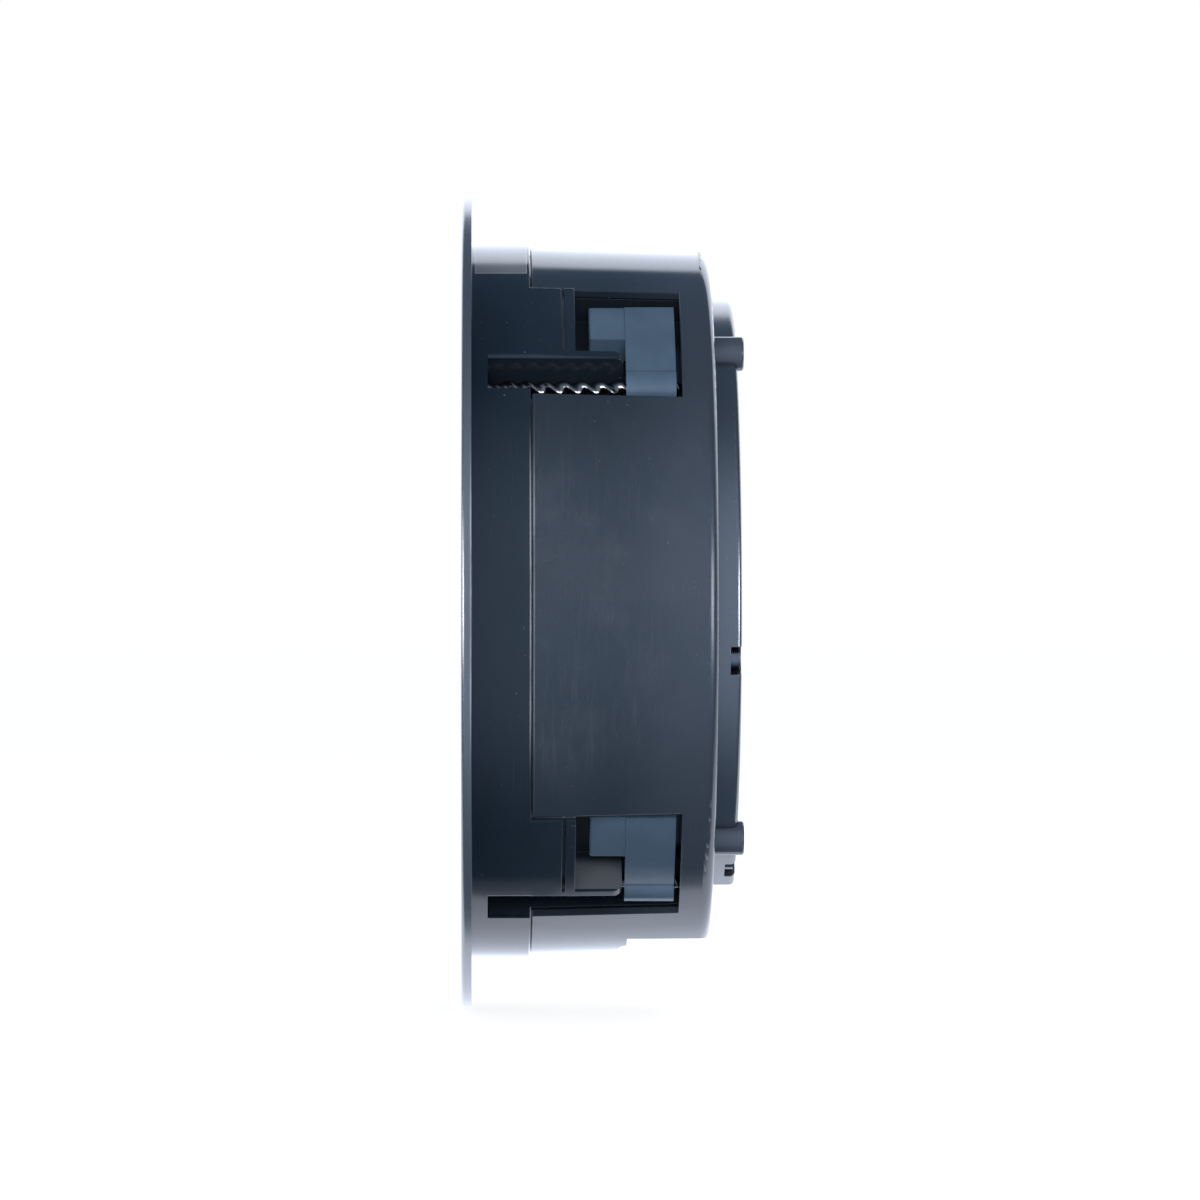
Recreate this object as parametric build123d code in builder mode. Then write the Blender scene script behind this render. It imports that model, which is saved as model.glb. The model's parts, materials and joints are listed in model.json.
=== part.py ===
from build123d import *
import os
from math import cos, radians, sin

# Round in-wall loudspeaker with a closed back can, in millimetres.
# The origin is the centre of the flange's back face, which lies on the wall.
# +Y runs into the wall, the front faces -Y and +Z is up.

# Flange and ring wall of the front frame
FLANGE_R = 115.0
FLANGE_T = 2.8
FLANGE_ROUND = 1.2
RING_R = 100.7
RING_DEPTH = 16.0
FRAME_WALL = 2.5
SPIGOT_REACH = 5.0

# Grille, set flush in the flange's front
GRILLE_MARGIN = 6.5
GRILLE_T = 1.0
GRILLE_ROUND = 0.6
GRILLE_GAP = 0.4
CLOTH_T = 0.3
CLOTH_MARGIN = 2.0
MAGNET_COUNT = 8
MAGNET_START = 15.0
MAGNET_R = 3.0
MAGNET_T = 2.0
MAGNET_INSET = 8.7
MAGNET_WALL = 1.2

# Well and ledge that hold the driver
WELL_R = 82.3
LEDGE_DEPTH = 12.8
LEDGE_W = 9.8

# Clamp towers: out is the distance from the speaker's axis square to the tower,
# along is the distance from the tower's middle plane
TOP_TOWER_ANGLE = 47.0
BOTTOM_TOWER_ANGLE = 47.9
TOWER_DRAFT = 0.6
POCKET_FLOOR_OUT = 85.9
SLOT_LOW_ALONG = -21.6
SLOT_W = 11.0
SHELF_T = 2.4
SHELF_EDGE = 1.2
POCKET_HIGH_ALONG = 20.4
POCKET_FRONT = 28.2
POCKET_REAR = 57.0
SHELF_REAR = 41.2
SHELF_ROUND = 2.8
STRIP_W = 2.7
GROOVE_W = 0.9
GROOVE_DEPTH = 1.2

# Clamp screws
SCREW_OUT = 91.6
SCREW_ALONG = -14.6
SCREW_R = 2.5
SCREW_HEAD_R = 4.4
SCREW_HEAD_T = 2.4
SCREW_HEAD_ROOM = 0.5
SCREW_WEB_T = 3.0
SCREW_TIP = 1.9
SCREW_TAPER = 1.0
RUNNING_GAP = 0.08

# Dog-leg clamps
CLAMP_BARREL_R = 5.2
CLAMP_FRONT = 41.9
CLAMP_LENGTH = 13.6
CLAMP_FACE_R = 96.0
CLAMP_T = 8.3
CLAMP_CREASE_R = 1.2
CLAMP_END_ALONG = 16.5
FOOT_START_ALONG = 1.7
FOOT_FRONT = 32.1
FOOT_STEP = 0.3
FOOT_TEETH = 12
FOOT_TOOTH_DEPTH = 0.6

# Rear can
SEAM = 0.4
CAN_FRONT_R = 99.7
CAN_REAR_R = 98.2
CAN_REAR = 66.3
CAN_WALL = 2.3
CAN_ROUND = 3.2
CAN_EDGE = 0.4
CAN_OPENING_R = 74.0
TOWER_GAP = 0.4
NOTCH_GAP = 0.8
FLAT_DROP = 94.3
FLAT_FRONT = 43.3
FLAT_ROUND = 2.6

# Screw bosses on the can's rear, over pillars on the towers
BOSS_ANGLES = (53.3, -50.7)
BOSS_RING_R = 84.4
BOSS_R = 4.75
BOSS_REAR = 74.7
BOSS_FLOOR_T = 2.0
BOSS_EDGE = 0.4
PILLAR_REACH = 12.0
CAN_SCREW_R = 1.8
CAN_SCREW_HEAD_R = 3.4
CAN_SCREW_HEAD_T = 2.4
CAN_SCREW_GRIP = 5.6
SUNK_HEAD_GAP = 0.3

# Rear cover
COVER_R = 84.8
COVER_REAR = 73.0
COVER_WALL = 2.3
COVER_ROOM = 0.7
COVER_ROUND = 1.5
COVER_FLAT_DROP = 79.2
COVER_BOSS_GAP = 0.4
COVER_SCREW_ANGLES = (-11.2, -62.0)
COVER_SCREW_RING_R = 80.8
COVER_SCREW_R = 1.4
COVER_SCREW_HEAD_R = 3.3
COVER_SCREW_HEAD_T = 2.3
COVER_SCREW_LENGTH = 10.5
COVER_NOTCH_W = 7.6
COVER_NOTCH_DEPTH = 3.0
COVER_POST_R = 3.5
COVER_POST_L = 7.0
HOOK_ANGLE = 22.0
HOOK_W = 12.0
HOOK_T = 2.2
HOOK_CATCH = 2.4
HOOK_GAP = 0.3

# Small screws and their cross recesses
THREAD_FIT = 0.02
HOLE_GAP = 0.3
CROSS_WIDTH = 0.3
CROSS_LENGTH = 1.3
CROSS_DEPTH = 0.55

# Woofer basket and its fixings
GASKET_T = 0.8
GASKET_W = 8.0
BASKET_GAP = 0.3
BASKET_T = 1.2
BASKET_RIM_W = 13.0
BASKET_SHELF_R = 49.5
BASKET_SHELF_DEPTH = 34.0
BASKET_SHELF_W = 6.5
BASKET_FLOOR_R = 20.0
BASKET_WINDOWS = 6
BASKET_WINDOW_ANGLE = 40.0
DRIVER_SCREWS = 6
DRIVER_SCREW_INSET = 3.4
DRIVER_SCREW_R = 1.5
DRIVER_SCREW_HEAD_R = 2.8
DRIVER_SCREW_HEAD_T = 1.8
DRIVER_SCREW_LENGTH = 8.0
DRIVER_BOSS_R = 3.2

# Moving parts of the woofer
SURROUND_T = 0.6
SURROUND_LANDING_W = 6.5
ROLL_INSET = 10.5
ROLL_R = 4.7
SURROUND_DROP = 2.6
SURROUND_LAP = 4.6
CONE_T = 1.0
CONE_CURVE = 2.0
CONE_NECK = 29.0
FORMER_R = 17.0
FORMER_T = 0.4
FORMER_FRONT = 27.0
COIL_T = 0.8
COIL_OVERHANG = 1.8
SPIDER_T = 0.6
SPIDER_WAVES = 3
SPIDER_WAVE_H = 1.4
SPIDER_LAP = 5.0

# Magnet system
TOP_PLATE_DEPTH = 43.0
TOP_PLATE_T = 5.0
TOP_PLATE_R = 40.0
FERRITE_R = 42.0
FERRITE_BORE_R = 23.0
FERRITE_T = 14.0
YOKE_R = 40.0
YOKE_T = 5.0
GAP_CLEARANCE = 0.7

# Coaxial tweeter on its post
POST_R = 4.9
POST_BORE_R = 3.0
POST_FIT = 0.05
NUT_ACROSS = 13.0
NUT_T = 3.0
TWEETER_FRONT = 6.0
TWEETER_REAR = 21.0
TWEETER_R = 20.0
TWEETER_BODY_R = 15.0
TWEETER_WALL = 1.5
TWEETER_LIP = 1.2
DOME_R = 10.0
DOME_RIM_R = 13.2
DOME_H = 3.0
DOME_T = 0.5
DOME_DEPTH = 9.4
TWEETER_MAGNET_R = 9.5
TWEETER_MAGNET_T = 6.5

# Crossover on the rear cover
BOARD_W = 44.0
BOARD_H = 24.0
BOARD_T = 1.6
BOARD_TOP_DROP = 46.0
BOARD_DEPTH = 62.4
BOARD_CORNER = 2.0
STANDOFF_R = 2.5
BOARD_SCREW_INSET = 3.0
BOARD_SCREW_R = 1.1
BOARD_SCREW_HEAD_R = 2.1
BOARD_SCREW_HEAD_T = 1.4
BOARD_SCREW_LENGTH = 6.0
COIL_OUTER_R = 8.0
COIL_INNER_R = 3.4
COIL_H = 9.0
COIL_SHIFT = -10.0
CAPACITOR_R = 4.6
CAPACITOR_L = 16.0
RESISTOR_L = 16.0
RESISTOR_S = 6.0
COMPONENT_SHIFT = 8.2
CAPACITOR_SHIFT = 5.2
RESISTOR_SHIFT = -7.0

# Terminal block in the can's flat
TERMINAL_DEPTH = 55.0
NOSE_W = 34.0
NOSE_L = 13.0
NOSE_SET_BACK = 0.2
NOSE_GAP = 0.2
NOSE_CORNER = 1.5
RIM_W = 42.0
RIM_L = 17.0
RIM_T = 2.0
TERMINAL_BODY_H = 9.0
TERMINAL_PITCH = 17.0
WIRE_R = 1.5
WIRE_REACH = 9.2
WIRE_SHIFT = -3.2
LEVER_SHIFT = 2.8
LEVER_W = 7.0
LEVER_L = 5.0
LEVER_LIP = 1.1
LEVER_LIP_T = 2.0
LEVER_SEAT = 4.2
LEVER_TAIL = 2.6
LEVER_GAP = 0.3
LEVER_SET_BACK = 0.1
LEVER_CORNER = 0.8
CONTACT_T = 0.8
CONTACT_W = 11.0
CONTACT_L = 8.5
TAB_W = 4.0
TAB_H = 6.0
TERMINAL_SCREW_R = 1.2
TERMINAL_SCREW_HEAD_R = 1.9
TERMINAL_SCREW_HEAD_T = 1.4
TERMINAL_SCREW_END = 0.6

# Levels behind the wall face that follow from the sizes above
flange_front = -FLANGE_T
grille_back = flange_front + GRILLE_T
recess_floor = grille_back + CLOTH_T
web_front = recess_floor + SCREW_HEAD_ROOM + SCREW_HEAD_T
web_back = web_front + SCREW_WEB_T
ledge_back = LEDGE_DEPTH + FRAME_WALL
can_front = RING_DEPTH + SEAM
can_floor = CAN_REAR - CAN_WALL
tower_rear = POCKET_REAR + FRAME_WALL
basket_back = LEDGE_DEPTH - GASKET_T
basket_front = basket_back - BASKET_T
ferrite_front = TOP_PLATE_DEPTH + TOP_PLATE_T
yoke_front = ferrite_front + FERRITE_T
yoke_rear = yoke_front + YOKE_T
cover_rear = max(COVER_REAR, yoke_rear + NUT_T + COVER_ROOM + COVER_WALL)
cover_ceiling = cover_rear - COVER_WALL
notch_floor = cover_rear - COVER_NOTCH_DEPTH
board_back = BOARD_DEPTH + BOARD_T

# Places that follow from the sizes above
ring_inner_r = RING_R - FRAME_WALL
well_outer_r = WELL_R + FRAME_WALL
ledge_r = WELL_R - LEDGE_W
grille_r = FLANGE_R - GRILLE_MARGIN
magnet_ring_r = WELL_R + MAGNET_INSET
basket_r = WELL_R - BASKET_GAP
basket_mouth_r = basket_r - BASKET_RIM_W
driver_screw_ring_r = basket_r - DRIVER_SCREW_INSET
surround_r = basket_mouth_r + SURROUND_LANDING_W
roll_ring_r = surround_r - ROLL_INSET
can_slope = (CAN_FRONT_R - CAN_REAR_R) / (CAN_REAR - can_front)
tower_inner_out = POCKET_FLOOR_OUT - FRAME_WALL
slot_high = SLOT_LOW_ALONG + SLOT_W
shelf_high = slot_high + SHELF_T
tower_low = SLOT_LOW_ALONG - FRAME_WALL
tower_high = POCKET_HIGH_ALONG + FRAME_WALL
bearing_r = SCREW_R + RUNNING_GAP
outside = FLANGE_R + RING_DEPTH
tower_angles = {
    "top_right": TOP_TOWER_ANGLE,
    "bottom_right": -BOTTOM_TOWER_ANGLE,
    "top_left": 180 - TOP_TOWER_ANGLE,
    "bottom_left": 180 + BOTTOM_TOWER_ANGLE,
}


def can_r(depth):
    """Outer radius of the drafted can at a depth behind the wall face."""
    return CAN_FRONT_R - can_slope * (depth - can_front)


def front_plane(depth, angle=0):
    """Plane square to the axis that faces the front: sketch x points outwards at the angle, y turns from it
    towards the top, and extruding goes forwards."""
    return Plane(origin=(0, depth, 0), x_dir=(cos(radians(angle)), 0, sin(radians(angle))), z_dir=(0, -1, 0))


def rear_plane(depth):
    """Plane square to the axis that faces the rear: sketch x is -X, y is +Z, extruding goes backwards."""
    return Plane(origin=(0, depth, 0), x_dir=(-1, 0, 0), z_dir=(0, 1, 0))


def side_plane(angle, out=0):
    """Plane that faces outwards at the angle: sketch x runs to the rear, y turns towards the top."""
    return Plane.YZ.rotated((0, -angle, 0)).offset(out)


def down_plane(height):
    """Level plane that faces down: sketch x is +X, y runs to the front, extruding goes down."""
    return Plane(origin=(0, 0, height), x_dir=(1, 0, 0), z_dir=(0, 0, -1))


def polar(radius, angles):
    """Points on a circle about the axis, as sketch places."""
    return [(radius * cos(radians(a)), radius * sin(radians(a))) for a in angles]


def both_sides(angles):
    """Angles on the right of the speaker and their mirror images on the left."""
    return [*angles, *(180 - a for a in angles)]


def span(low, high):
    """Rectangle in the current sketch from its low corner to its high corner."""
    with Locations(((low[0] + high[0]) / 2, (low[1] + high[1]) / 2)):
        Rectangle(high[0] - low[0], high[1] - low[1])


def turned(*points):
    """Solid of revolution about the speaker's axis from an outline of (radius, depth) points."""
    with BuildSketch(Plane.XY) as section:
        with BuildLine():
            Polyline(*points, close=True)
        make_face()
    revolve(section.sketch, axis=Axis.Y)


def cross_head_screws(seat, places, head_r, head_t, shank_r, shank_l):
    """Set of cross-head screws, as separate solids, whose heads stand up from one seat plane."""
    with BuildPart() as screws:
        with BuildSketch(seat):
            with Locations(*places):
                Circle(head_r)
        extrude(amount=head_t)
        with BuildSketch(seat):
            with Locations(*places):
                Circle(shank_r)
        extrude(amount=-shank_l)
        with BuildSketch(seat.offset(head_t)):
            with Locations(*places):
                Rectangle(CROSS_LENGTH * head_r, CROSS_WIDTH * head_r)
                Rectangle(CROSS_WIDTH * head_r, CROSS_LENGTH * head_r)
        extrude(amount=-CROSS_DEPTH * head_t, mode=Mode.SUBTRACT)
    return screws.part


def save(part, name):
    """Label a finished piece and write it as one STEP file."""
    part.label = name
    export_step(part, f"parts/{name}.step")


os.makedirs("parts", exist_ok=True)
boss_places = polar(BOSS_RING_R, both_sides(BOSS_ANGLES))
cover_screw_places = polar(COVER_SCREW_RING_R, both_sides(COVER_SCREW_ANGLES))
driver_screw_places = polar(driver_screw_ring_r, [i * 360 / DRIVER_SCREWS for i in range(DRIVER_SCREWS)])
magnet_angles = [MAGNET_START + i * 360 / MAGNET_COUNT for i in range(MAGNET_COUNT)]
magnet_places = polar(magnet_ring_r, magnet_angles)
terminal_screw_x = (RIM_W + NOSE_W) / 4
terminal_screw_places = [(terminal_screw_x, -TERMINAL_DEPTH), (-terminal_screw_x, -TERMINAL_DEPTH)]

# One clamp tower at angle zero: out is +X, along is +Z.
# Its walls lie just inside the can, and its front block carries the ring's face on through the can's notch.
with BuildPart() as tower:
    turned(
        (0, web_back),
        (ring_inner_r + FRAME_WALL / 2, web_back),
        (ring_inner_r + FRAME_WALL / 2, RING_DEPTH),
        (can_r(RING_DEPTH) - CAN_WALL - TOWER_GAP, RING_DEPTH),
        (can_r(tower_rear) - CAN_WALL - TOWER_GAP, tower_rear),
        (0, tower_rear),
    )
    with BuildSketch(front_plane(tower_rear)):
        span((tower_inner_out, tower_low), (outside, tower_high))
    extrude(amount=tower_rear - web_back, mode=Mode.INTERSECT)

with BuildPart() as tower_front:
    turned((0, RING_DEPTH), (RING_R, RING_DEPTH), (RING_R - TOWER_DRAFT, SHELF_REAR), (0, SHELF_REAR))
    with BuildSketch(Plane.YZ):
        span((RING_DEPTH, slot_high), (POCKET_FRONT, POCKET_HIGH_ALONG - SEAM))
        span((RING_DEPTH, slot_high), (SHELF_REAR, shelf_high))
    extrude(amount=outside, mode=Mode.INTERSECT)
    with BuildSketch(front_plane(SHELF_REAR)):
        span((tower_inner_out, tower_low), (outside, tower_high))
    extrude(amount=SHELF_REAR - RING_DEPTH, mode=Mode.INTERSECT)
    shelf_corner = tower_front.faces().sort_by(Axis.Y)[-1].edges().sort_by(Axis.X)[-1]
    fillet(shelf_corner, SHELF_ROUND)
    # Groove across the block in front of its last strip
    groove_rear = POCKET_FRONT - STRIP_W
    groove_floor_out = (RING_R**2 - POCKET_HIGH_ALONG**2) ** 0.5 - GROOVE_DEPTH
    with BuildSketch(front_plane(groove_rear)):
        span((groove_floor_out, shelf_high), (outside, POCKET_HIGH_ALONG))
    extrude(amount=GROOVE_W, mode=Mode.SUBTRACT)

# Space inside a tower: the screw's slot, the clamp's pocket, and the core behind the front block
with BuildPart() as tower_space:
    with BuildSketch(front_plane(POCKET_REAR)):
        span((POCKET_FLOOR_OUT, SLOT_LOW_ALONG), (outside, slot_high))
    extrude(amount=POCKET_REAR - web_back)
    with BuildSketch(front_plane(POCKET_REAR)):
        span((POCKET_FLOOR_OUT, shelf_high), (outside, POCKET_HIGH_ALONG))
    extrude(amount=POCKET_REAR - POCKET_FRONT)
    with BuildSketch(front_plane(POCKET_REAR)):
        span((POCKET_FLOOR_OUT, SLOT_LOW_ALONG), (outside, POCKET_HIGH_ALONG))
    extrude(amount=POCKET_REAR - SHELF_REAR)
    with BuildSketch(front_plane(POCKET_FRONT - FRAME_WALL)):
        span(
            (tower_inner_out - FRAME_WALL, shelf_high + FRAME_WALL),
            (groove_floor_out - FRAME_WALL, POCKET_HIGH_ALONG - SEAM - FRAME_WALL),
        )
    extrude(amount=POCKET_FRONT - 2 * FRAME_WALL - ledge_back)
    with BuildSketch(front_plane(tower_rear)):
        with Locations((SCREW_OUT, SCREW_ALONG)):
            Circle(bearing_r)
    extrude(amount=tower_rear - web_front)
    # Rounded edge on the slot's shelf side
    edge_along = slot_high + SHELF_EDGE
    edge_out = (RING_R**2 - edge_along**2) ** 0.5
    with BuildSketch(front_plane(SHELF_REAR)):
        span((edge_out - SHELF_EDGE, slot_high), (outside, edge_along))
        with Locations((edge_out - SHELF_EDGE, edge_along)):
            Circle(SHELF_EDGE, mode=Mode.SUBTRACT)
    extrude(amount=SHELF_REAR - web_back)

# Front frame: flange, ring wall, well and ledge in one section, then towers, pillars and posts
with BuildPart() as front_frame:
    turned(
        (FLANGE_R, 0),
        (RING_R, 0),
        (RING_R, RING_DEPTH),
        (can_r(can_front) - CAN_WALL - TOWER_GAP, RING_DEPTH),
        (can_r(can_front) - CAN_WALL - TOWER_GAP, RING_DEPTH + SPIGOT_REACH),
        (can_r(can_front) - CAN_WALL - TOWER_GAP - FRAME_WALL, RING_DEPTH + SPIGOT_REACH),
        (can_r(can_front) - CAN_WALL - TOWER_GAP - FRAME_WALL, RING_DEPTH - FRAME_WALL),
        (ring_inner_r, RING_DEPTH - FRAME_WALL),
        (ring_inner_r, web_back),
        (well_outer_r, web_back),
        (well_outer_r, ledge_back),
        (ledge_r, ledge_back),
        (ledge_r, LEDGE_DEPTH),
        (WELL_R, LEDGE_DEPTH),
        (WELL_R, web_front),
        (ring_inner_r, web_front),
        (ring_inner_r, recess_floor),
        (grille_r + GRILLE_GAP, recess_floor),
        (grille_r + GRILLE_GAP, flange_front),
        (FLANGE_R, flange_front),
    )
    flange_rim = front_frame.faces().filter_by(Axis.Y).sort_by(Axis.Y)[0].edges().sort_by(SortBy.LENGTH)[-1]
    fillet(flange_rim, FLANGE_ROUND)
    for angle in tower_angles.values():
        add(tower.part, rotation=(0, -angle, 0))
        add(tower_front.part, rotation=(0, -angle, 0))
    with BuildSketch(front_plane(can_floor)):
        with Locations(*boss_places):
            Circle(BOSS_R)
    extrude(amount=PILLAR_REACH)
    with BuildSketch(front_plane(ledge_back)):
        with Locations(*driver_screw_places):
            Circle(DRIVER_BOSS_R)
    extrude(amount=-DRIVER_SCREW_LENGTH + GASKET_T + BASKET_T + FRAME_WALL)
    with BuildSketch(front_plane(web_front)):
        with Locations(*magnet_places):
            Circle(MAGNET_R + MAGNET_WALL)
    extrude(amount=web_front - recess_floor)
    for angle in tower_angles.values():
        add(tower_space.part, rotation=(0, -angle, 0), mode=Mode.SUBTRACT)
    with BuildSketch(front_plane(recess_floor)):
        with Locations(*magnet_places):
            Circle(MAGNET_R + THREAD_FIT)
    extrude(amount=-MAGNET_T, mode=Mode.SUBTRACT)
    with BuildSketch(front_plane(can_floor)):
        with Locations(*boss_places):
            Circle(CAN_SCREW_R + THREAD_FIT)
    extrude(amount=CAN_SCREW_GRIP + THREAD_FIT, mode=Mode.SUBTRACT)
    with BuildSketch(front_plane(LEDGE_DEPTH)):
        with Locations(*driver_screw_places):
            Circle(DRIVER_SCREW_R + THREAD_FIT)
    extrude(amount=-DRIVER_SCREW_LENGTH, mode=Mode.SUBTRACT)
save(front_frame.part, "front_frame")

# Rear can: drafted drum with a flat at the bottom, four notches, a service opening and four bosses
terminal_low = -FLAT_DROP + NOSE_SET_BACK
flat_inner_drop = FLAT_DROP - CAN_WALL
with BuildPart() as rear_can:
    turned((0, can_front), (can_r(can_front), can_front), (can_r(CAN_REAR), CAN_REAR), (0, CAN_REAR))
    fillet(rear_can.edges().group_by(Axis.Y)[-1], CAN_ROUND)
    chamfer(rear_can.edges().group_by(Axis.Y)[0], CAN_EDGE)
    with BuildSketch(Plane.YZ):
        step_start = FLAT_FRONT - FLAT_ROUND
        step_low = can_r(step_start) + FLAT_ROUND / 10
        with BuildLine():
            step_round = RadiusArc((step_start, -step_low), (FLAT_FRONT, FLAT_ROUND - step_low), FLAT_ROUND)
            Polyline(
                step_round @ 1,
                (FLAT_FRONT, -FLAT_DROP),
                (cover_rear, -FLAT_DROP),
                (cover_rear, -outside),
                (step_start, -outside),
                step_round @ 0,
            )
        make_face()
    extrude(amount=outside, both=True, mode=Mode.SUBTRACT)
    with BuildSketch(rear_plane(CAN_REAR)):
        with Locations(*boss_places):
            Circle(BOSS_R)
    extrude(amount=BOSS_REAR - CAN_REAR)
    chamfer(rear_can.faces().sort_by(Axis.Y)[-4:].edges(), BOSS_EDGE)

# Hollow of the can, which follows the flat inside
with BuildPart() as can_hollow:
    turned(
        (0, can_front),
        (can_r(can_front) - CAN_WALL, can_front),
        (can_r(can_floor) - CAN_WALL, can_floor),
        (0, can_floor),
    )
    fillet(can_hollow.edges().group_by(Axis.Y)[-1], CAN_ROUND - CAN_WALL)
    with BuildSketch(Plane.YZ):
        span((FLAT_FRONT - CAN_WALL, -outside), (cover_rear, -flat_inner_drop))
    extrude(amount=outside, both=True, mode=Mode.SUBTRACT)

with BuildPart() as rear_can_shell:
    add(rear_can.part)
    add(can_hollow.part, mode=Mode.SUBTRACT)
    with BuildSketch(front_plane(can_floor)):
        with Locations(*cover_screw_places):
            Circle(COVER_POST_R)
    extrude(amount=COVER_POST_L)
    for angle in tower_angles.values():
        with BuildSketch(side_plane(angle)):
            span((0, SLOT_LOW_ALONG - NOTCH_GAP), (POCKET_REAR, POCKET_HIGH_ALONG))
        extrude(amount=outside, mode=Mode.SUBTRACT)
    with BuildSketch(front_plane(CAN_REAR)):
        Circle(CAN_OPENING_R)
    extrude(amount=CAN_WALL, mode=Mode.SUBTRACT)
    with BuildSketch(rear_plane(can_floor)):
        with Locations(*boss_places):
            Circle(CAN_SCREW_R + HOLE_GAP)
    extrude(amount=BOSS_REAR - can_floor, mode=Mode.SUBTRACT)
    with BuildSketch(rear_plane(can_floor + BOSS_FLOOR_T)):
        with Locations(*boss_places):
            Circle(CAN_SCREW_HEAD_R + SUNK_HEAD_GAP)
    extrude(amount=BOSS_REAR - can_floor, mode=Mode.SUBTRACT)
    with BuildSketch(front_plane(CAN_REAR)):
        with Locations(*cover_screw_places):
            Circle(COVER_SCREW_R + THREAD_FIT)
    extrude(amount=CAN_WALL + COVER_POST_L, mode=Mode.SUBTRACT)
    with BuildSketch(down_plane(-flat_inner_drop)):
        with Locations((0, -TERMINAL_DEPTH)):
            RectangleRounded(NOSE_W + 2 * NOSE_GAP, NOSE_L + 2 * NOSE_GAP, NOSE_CORNER + NOSE_GAP)
    extrude(amount=CAN_WALL, mode=Mode.SUBTRACT)
    with BuildSketch(down_plane(-flat_inner_drop)):
        with Locations(*terminal_screw_places):
            Circle(TERMINAL_SCREW_R + THREAD_FIT)
    extrude(amount=CAN_WALL - TERMINAL_SCREW_END, mode=Mode.SUBTRACT)
save(rear_can_shell.part, "rear_can")

# Rear cover: shallow lid with a flat at the bottom, bites round the bosses and notches for its screws
with BuildPart() as rear_cover:
    with BuildSketch(rear_plane(CAN_REAR)):
        Circle(COVER_R)
        with Locations((0, -COVER_FLAT_DROP - COVER_R)):
            Rectangle(2 * COVER_R, 2 * COVER_R, mode=Mode.SUBTRACT)
    extrude(amount=cover_rear - CAN_REAR)
    fillet(rear_cover.edges().group_by(Axis.Y)[-1], COVER_ROUND)
    with BuildSketch(rear_plane(CAN_REAR)):
        Circle(COVER_R - COVER_WALL)
        with Locations((0, -COVER_FLAT_DROP + COVER_WALL - COVER_R)):
            Rectangle(2 * COVER_R, 2 * COVER_R, mode=Mode.SUBTRACT)
        with Locations(*boss_places):
            Circle(BOSS_R + COVER_BOSS_GAP + COVER_WALL, mode=Mode.SUBTRACT)
        with Locations(*cover_screw_places):
            Circle(COVER_NOTCH_W / 2 + COVER_WALL, mode=Mode.SUBTRACT)
    extrude(amount=cover_ceiling - CAN_REAR, mode=Mode.SUBTRACT)
    with BuildSketch(rear_plane(CAN_REAR)):
        with Locations(*boss_places):
            Circle(BOSS_R + COVER_BOSS_GAP)
    extrude(amount=cover_rear - CAN_REAR, mode=Mode.SUBTRACT)
    for angle in both_sides(COVER_SCREW_ANGLES):
        with BuildSketch(front_plane(cover_rear, angle)):
            with Locations((COVER_SCREW_RING_R, 0)):
                Circle(COVER_NOTCH_W / 2)
            span((COVER_SCREW_RING_R, -COVER_NOTCH_W / 2), (outside, COVER_NOTCH_W / 2))
        extrude(amount=COVER_NOTCH_DEPTH, mode=Mode.SUBTRACT)
    with BuildSketch(rear_plane(CAN_REAR)):
        with Locations(*cover_screw_places):
            Circle(COVER_SCREW_R + HOLE_GAP)
    extrude(amount=cover_rear - CAN_REAR, mode=Mode.SUBTRACT)
    # Standoffs for the crossover board
    board_middle = -BOARD_TOP_DROP - BOARD_H / 2
    with BuildSketch(rear_plane(board_back)):
        with Locations((0, board_middle)):
            with GridLocations(BOARD_W - 2 * BOARD_SCREW_INSET, BOARD_H - 2 * BOARD_SCREW_INSET, 2, 2):
                Circle(STANDOFF_R)
    extrude(amount=cover_ceiling - board_back)
    with BuildSketch(rear_plane(board_back)):
        with Locations((0, board_middle)):
            with GridLocations(BOARD_W - 2 * BOARD_SCREW_INSET, BOARD_H - 2 * BOARD_SCREW_INSET, 2, 2):
                Circle(BOARD_SCREW_R + THREAD_FIT)
    extrude(amount=BOARD_SCREW_LENGTH - BOARD_T, mode=Mode.SUBTRACT)
    # Two hooks at the top that catch behind the can's rear wall
    for angle in (90 - HOOK_ANGLE, 90 + HOOK_ANGLE):
        hook_out = CAN_OPENING_R - HOOK_GAP
        with BuildSketch(Plane.XY.rotated((0, -angle, 0))):
            with BuildLine():
                Polyline(
                    (hook_out - HOOK_T, cover_ceiling),
                    (hook_out, cover_ceiling),
                    (hook_out, can_floor - HOOK_GAP),
                    (hook_out + HOOK_CATCH, can_floor - HOOK_GAP),
                    (hook_out, can_floor - HOOK_GAP - HOOK_CATCH),
                    (hook_out - HOOK_T, can_floor - HOOK_GAP - HOOK_CATCH),
                    close=True,
                )
            make_face()
        extrude(amount=HOOK_W / 2, both=True)
save(rear_cover.part, "rear_cover")

save(
    cross_head_screws(
        rear_plane(can_floor + BOSS_FLOOR_T),
        boss_places,
        CAN_SCREW_HEAD_R,
        CAN_SCREW_HEAD_T,
        CAN_SCREW_R,
        BOSS_FLOOR_T + CAN_SCREW_GRIP,
    ),
    "can_screws",
)
save(
    cross_head_screws(
        rear_plane(notch_floor),
        cover_screw_places,
        COVER_SCREW_HEAD_R,
        COVER_SCREW_HEAD_T,
        COVER_SCREW_R,
        COVER_SCREW_LENGTH,
    ),
    "rear_cover_screws",
)

# Grille with its cloth, and the magnets that hold it
with BuildPart() as grille:
    with BuildSketch(front_plane(grille_back)):
        Circle(grille_r)
    extrude(amount=GRILLE_T)
    fillet(grille.edges().group_by(Axis.Y)[0], GRILLE_ROUND)
save(grille.part, "grille")

with BuildPart() as grille_cloth:
    with BuildSketch(front_plane(recess_floor)):
        Circle(grille_r - CLOTH_MARGIN)
    extrude(amount=CLOTH_T)
save(grille_cloth.part, "grille_cloth")

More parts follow.
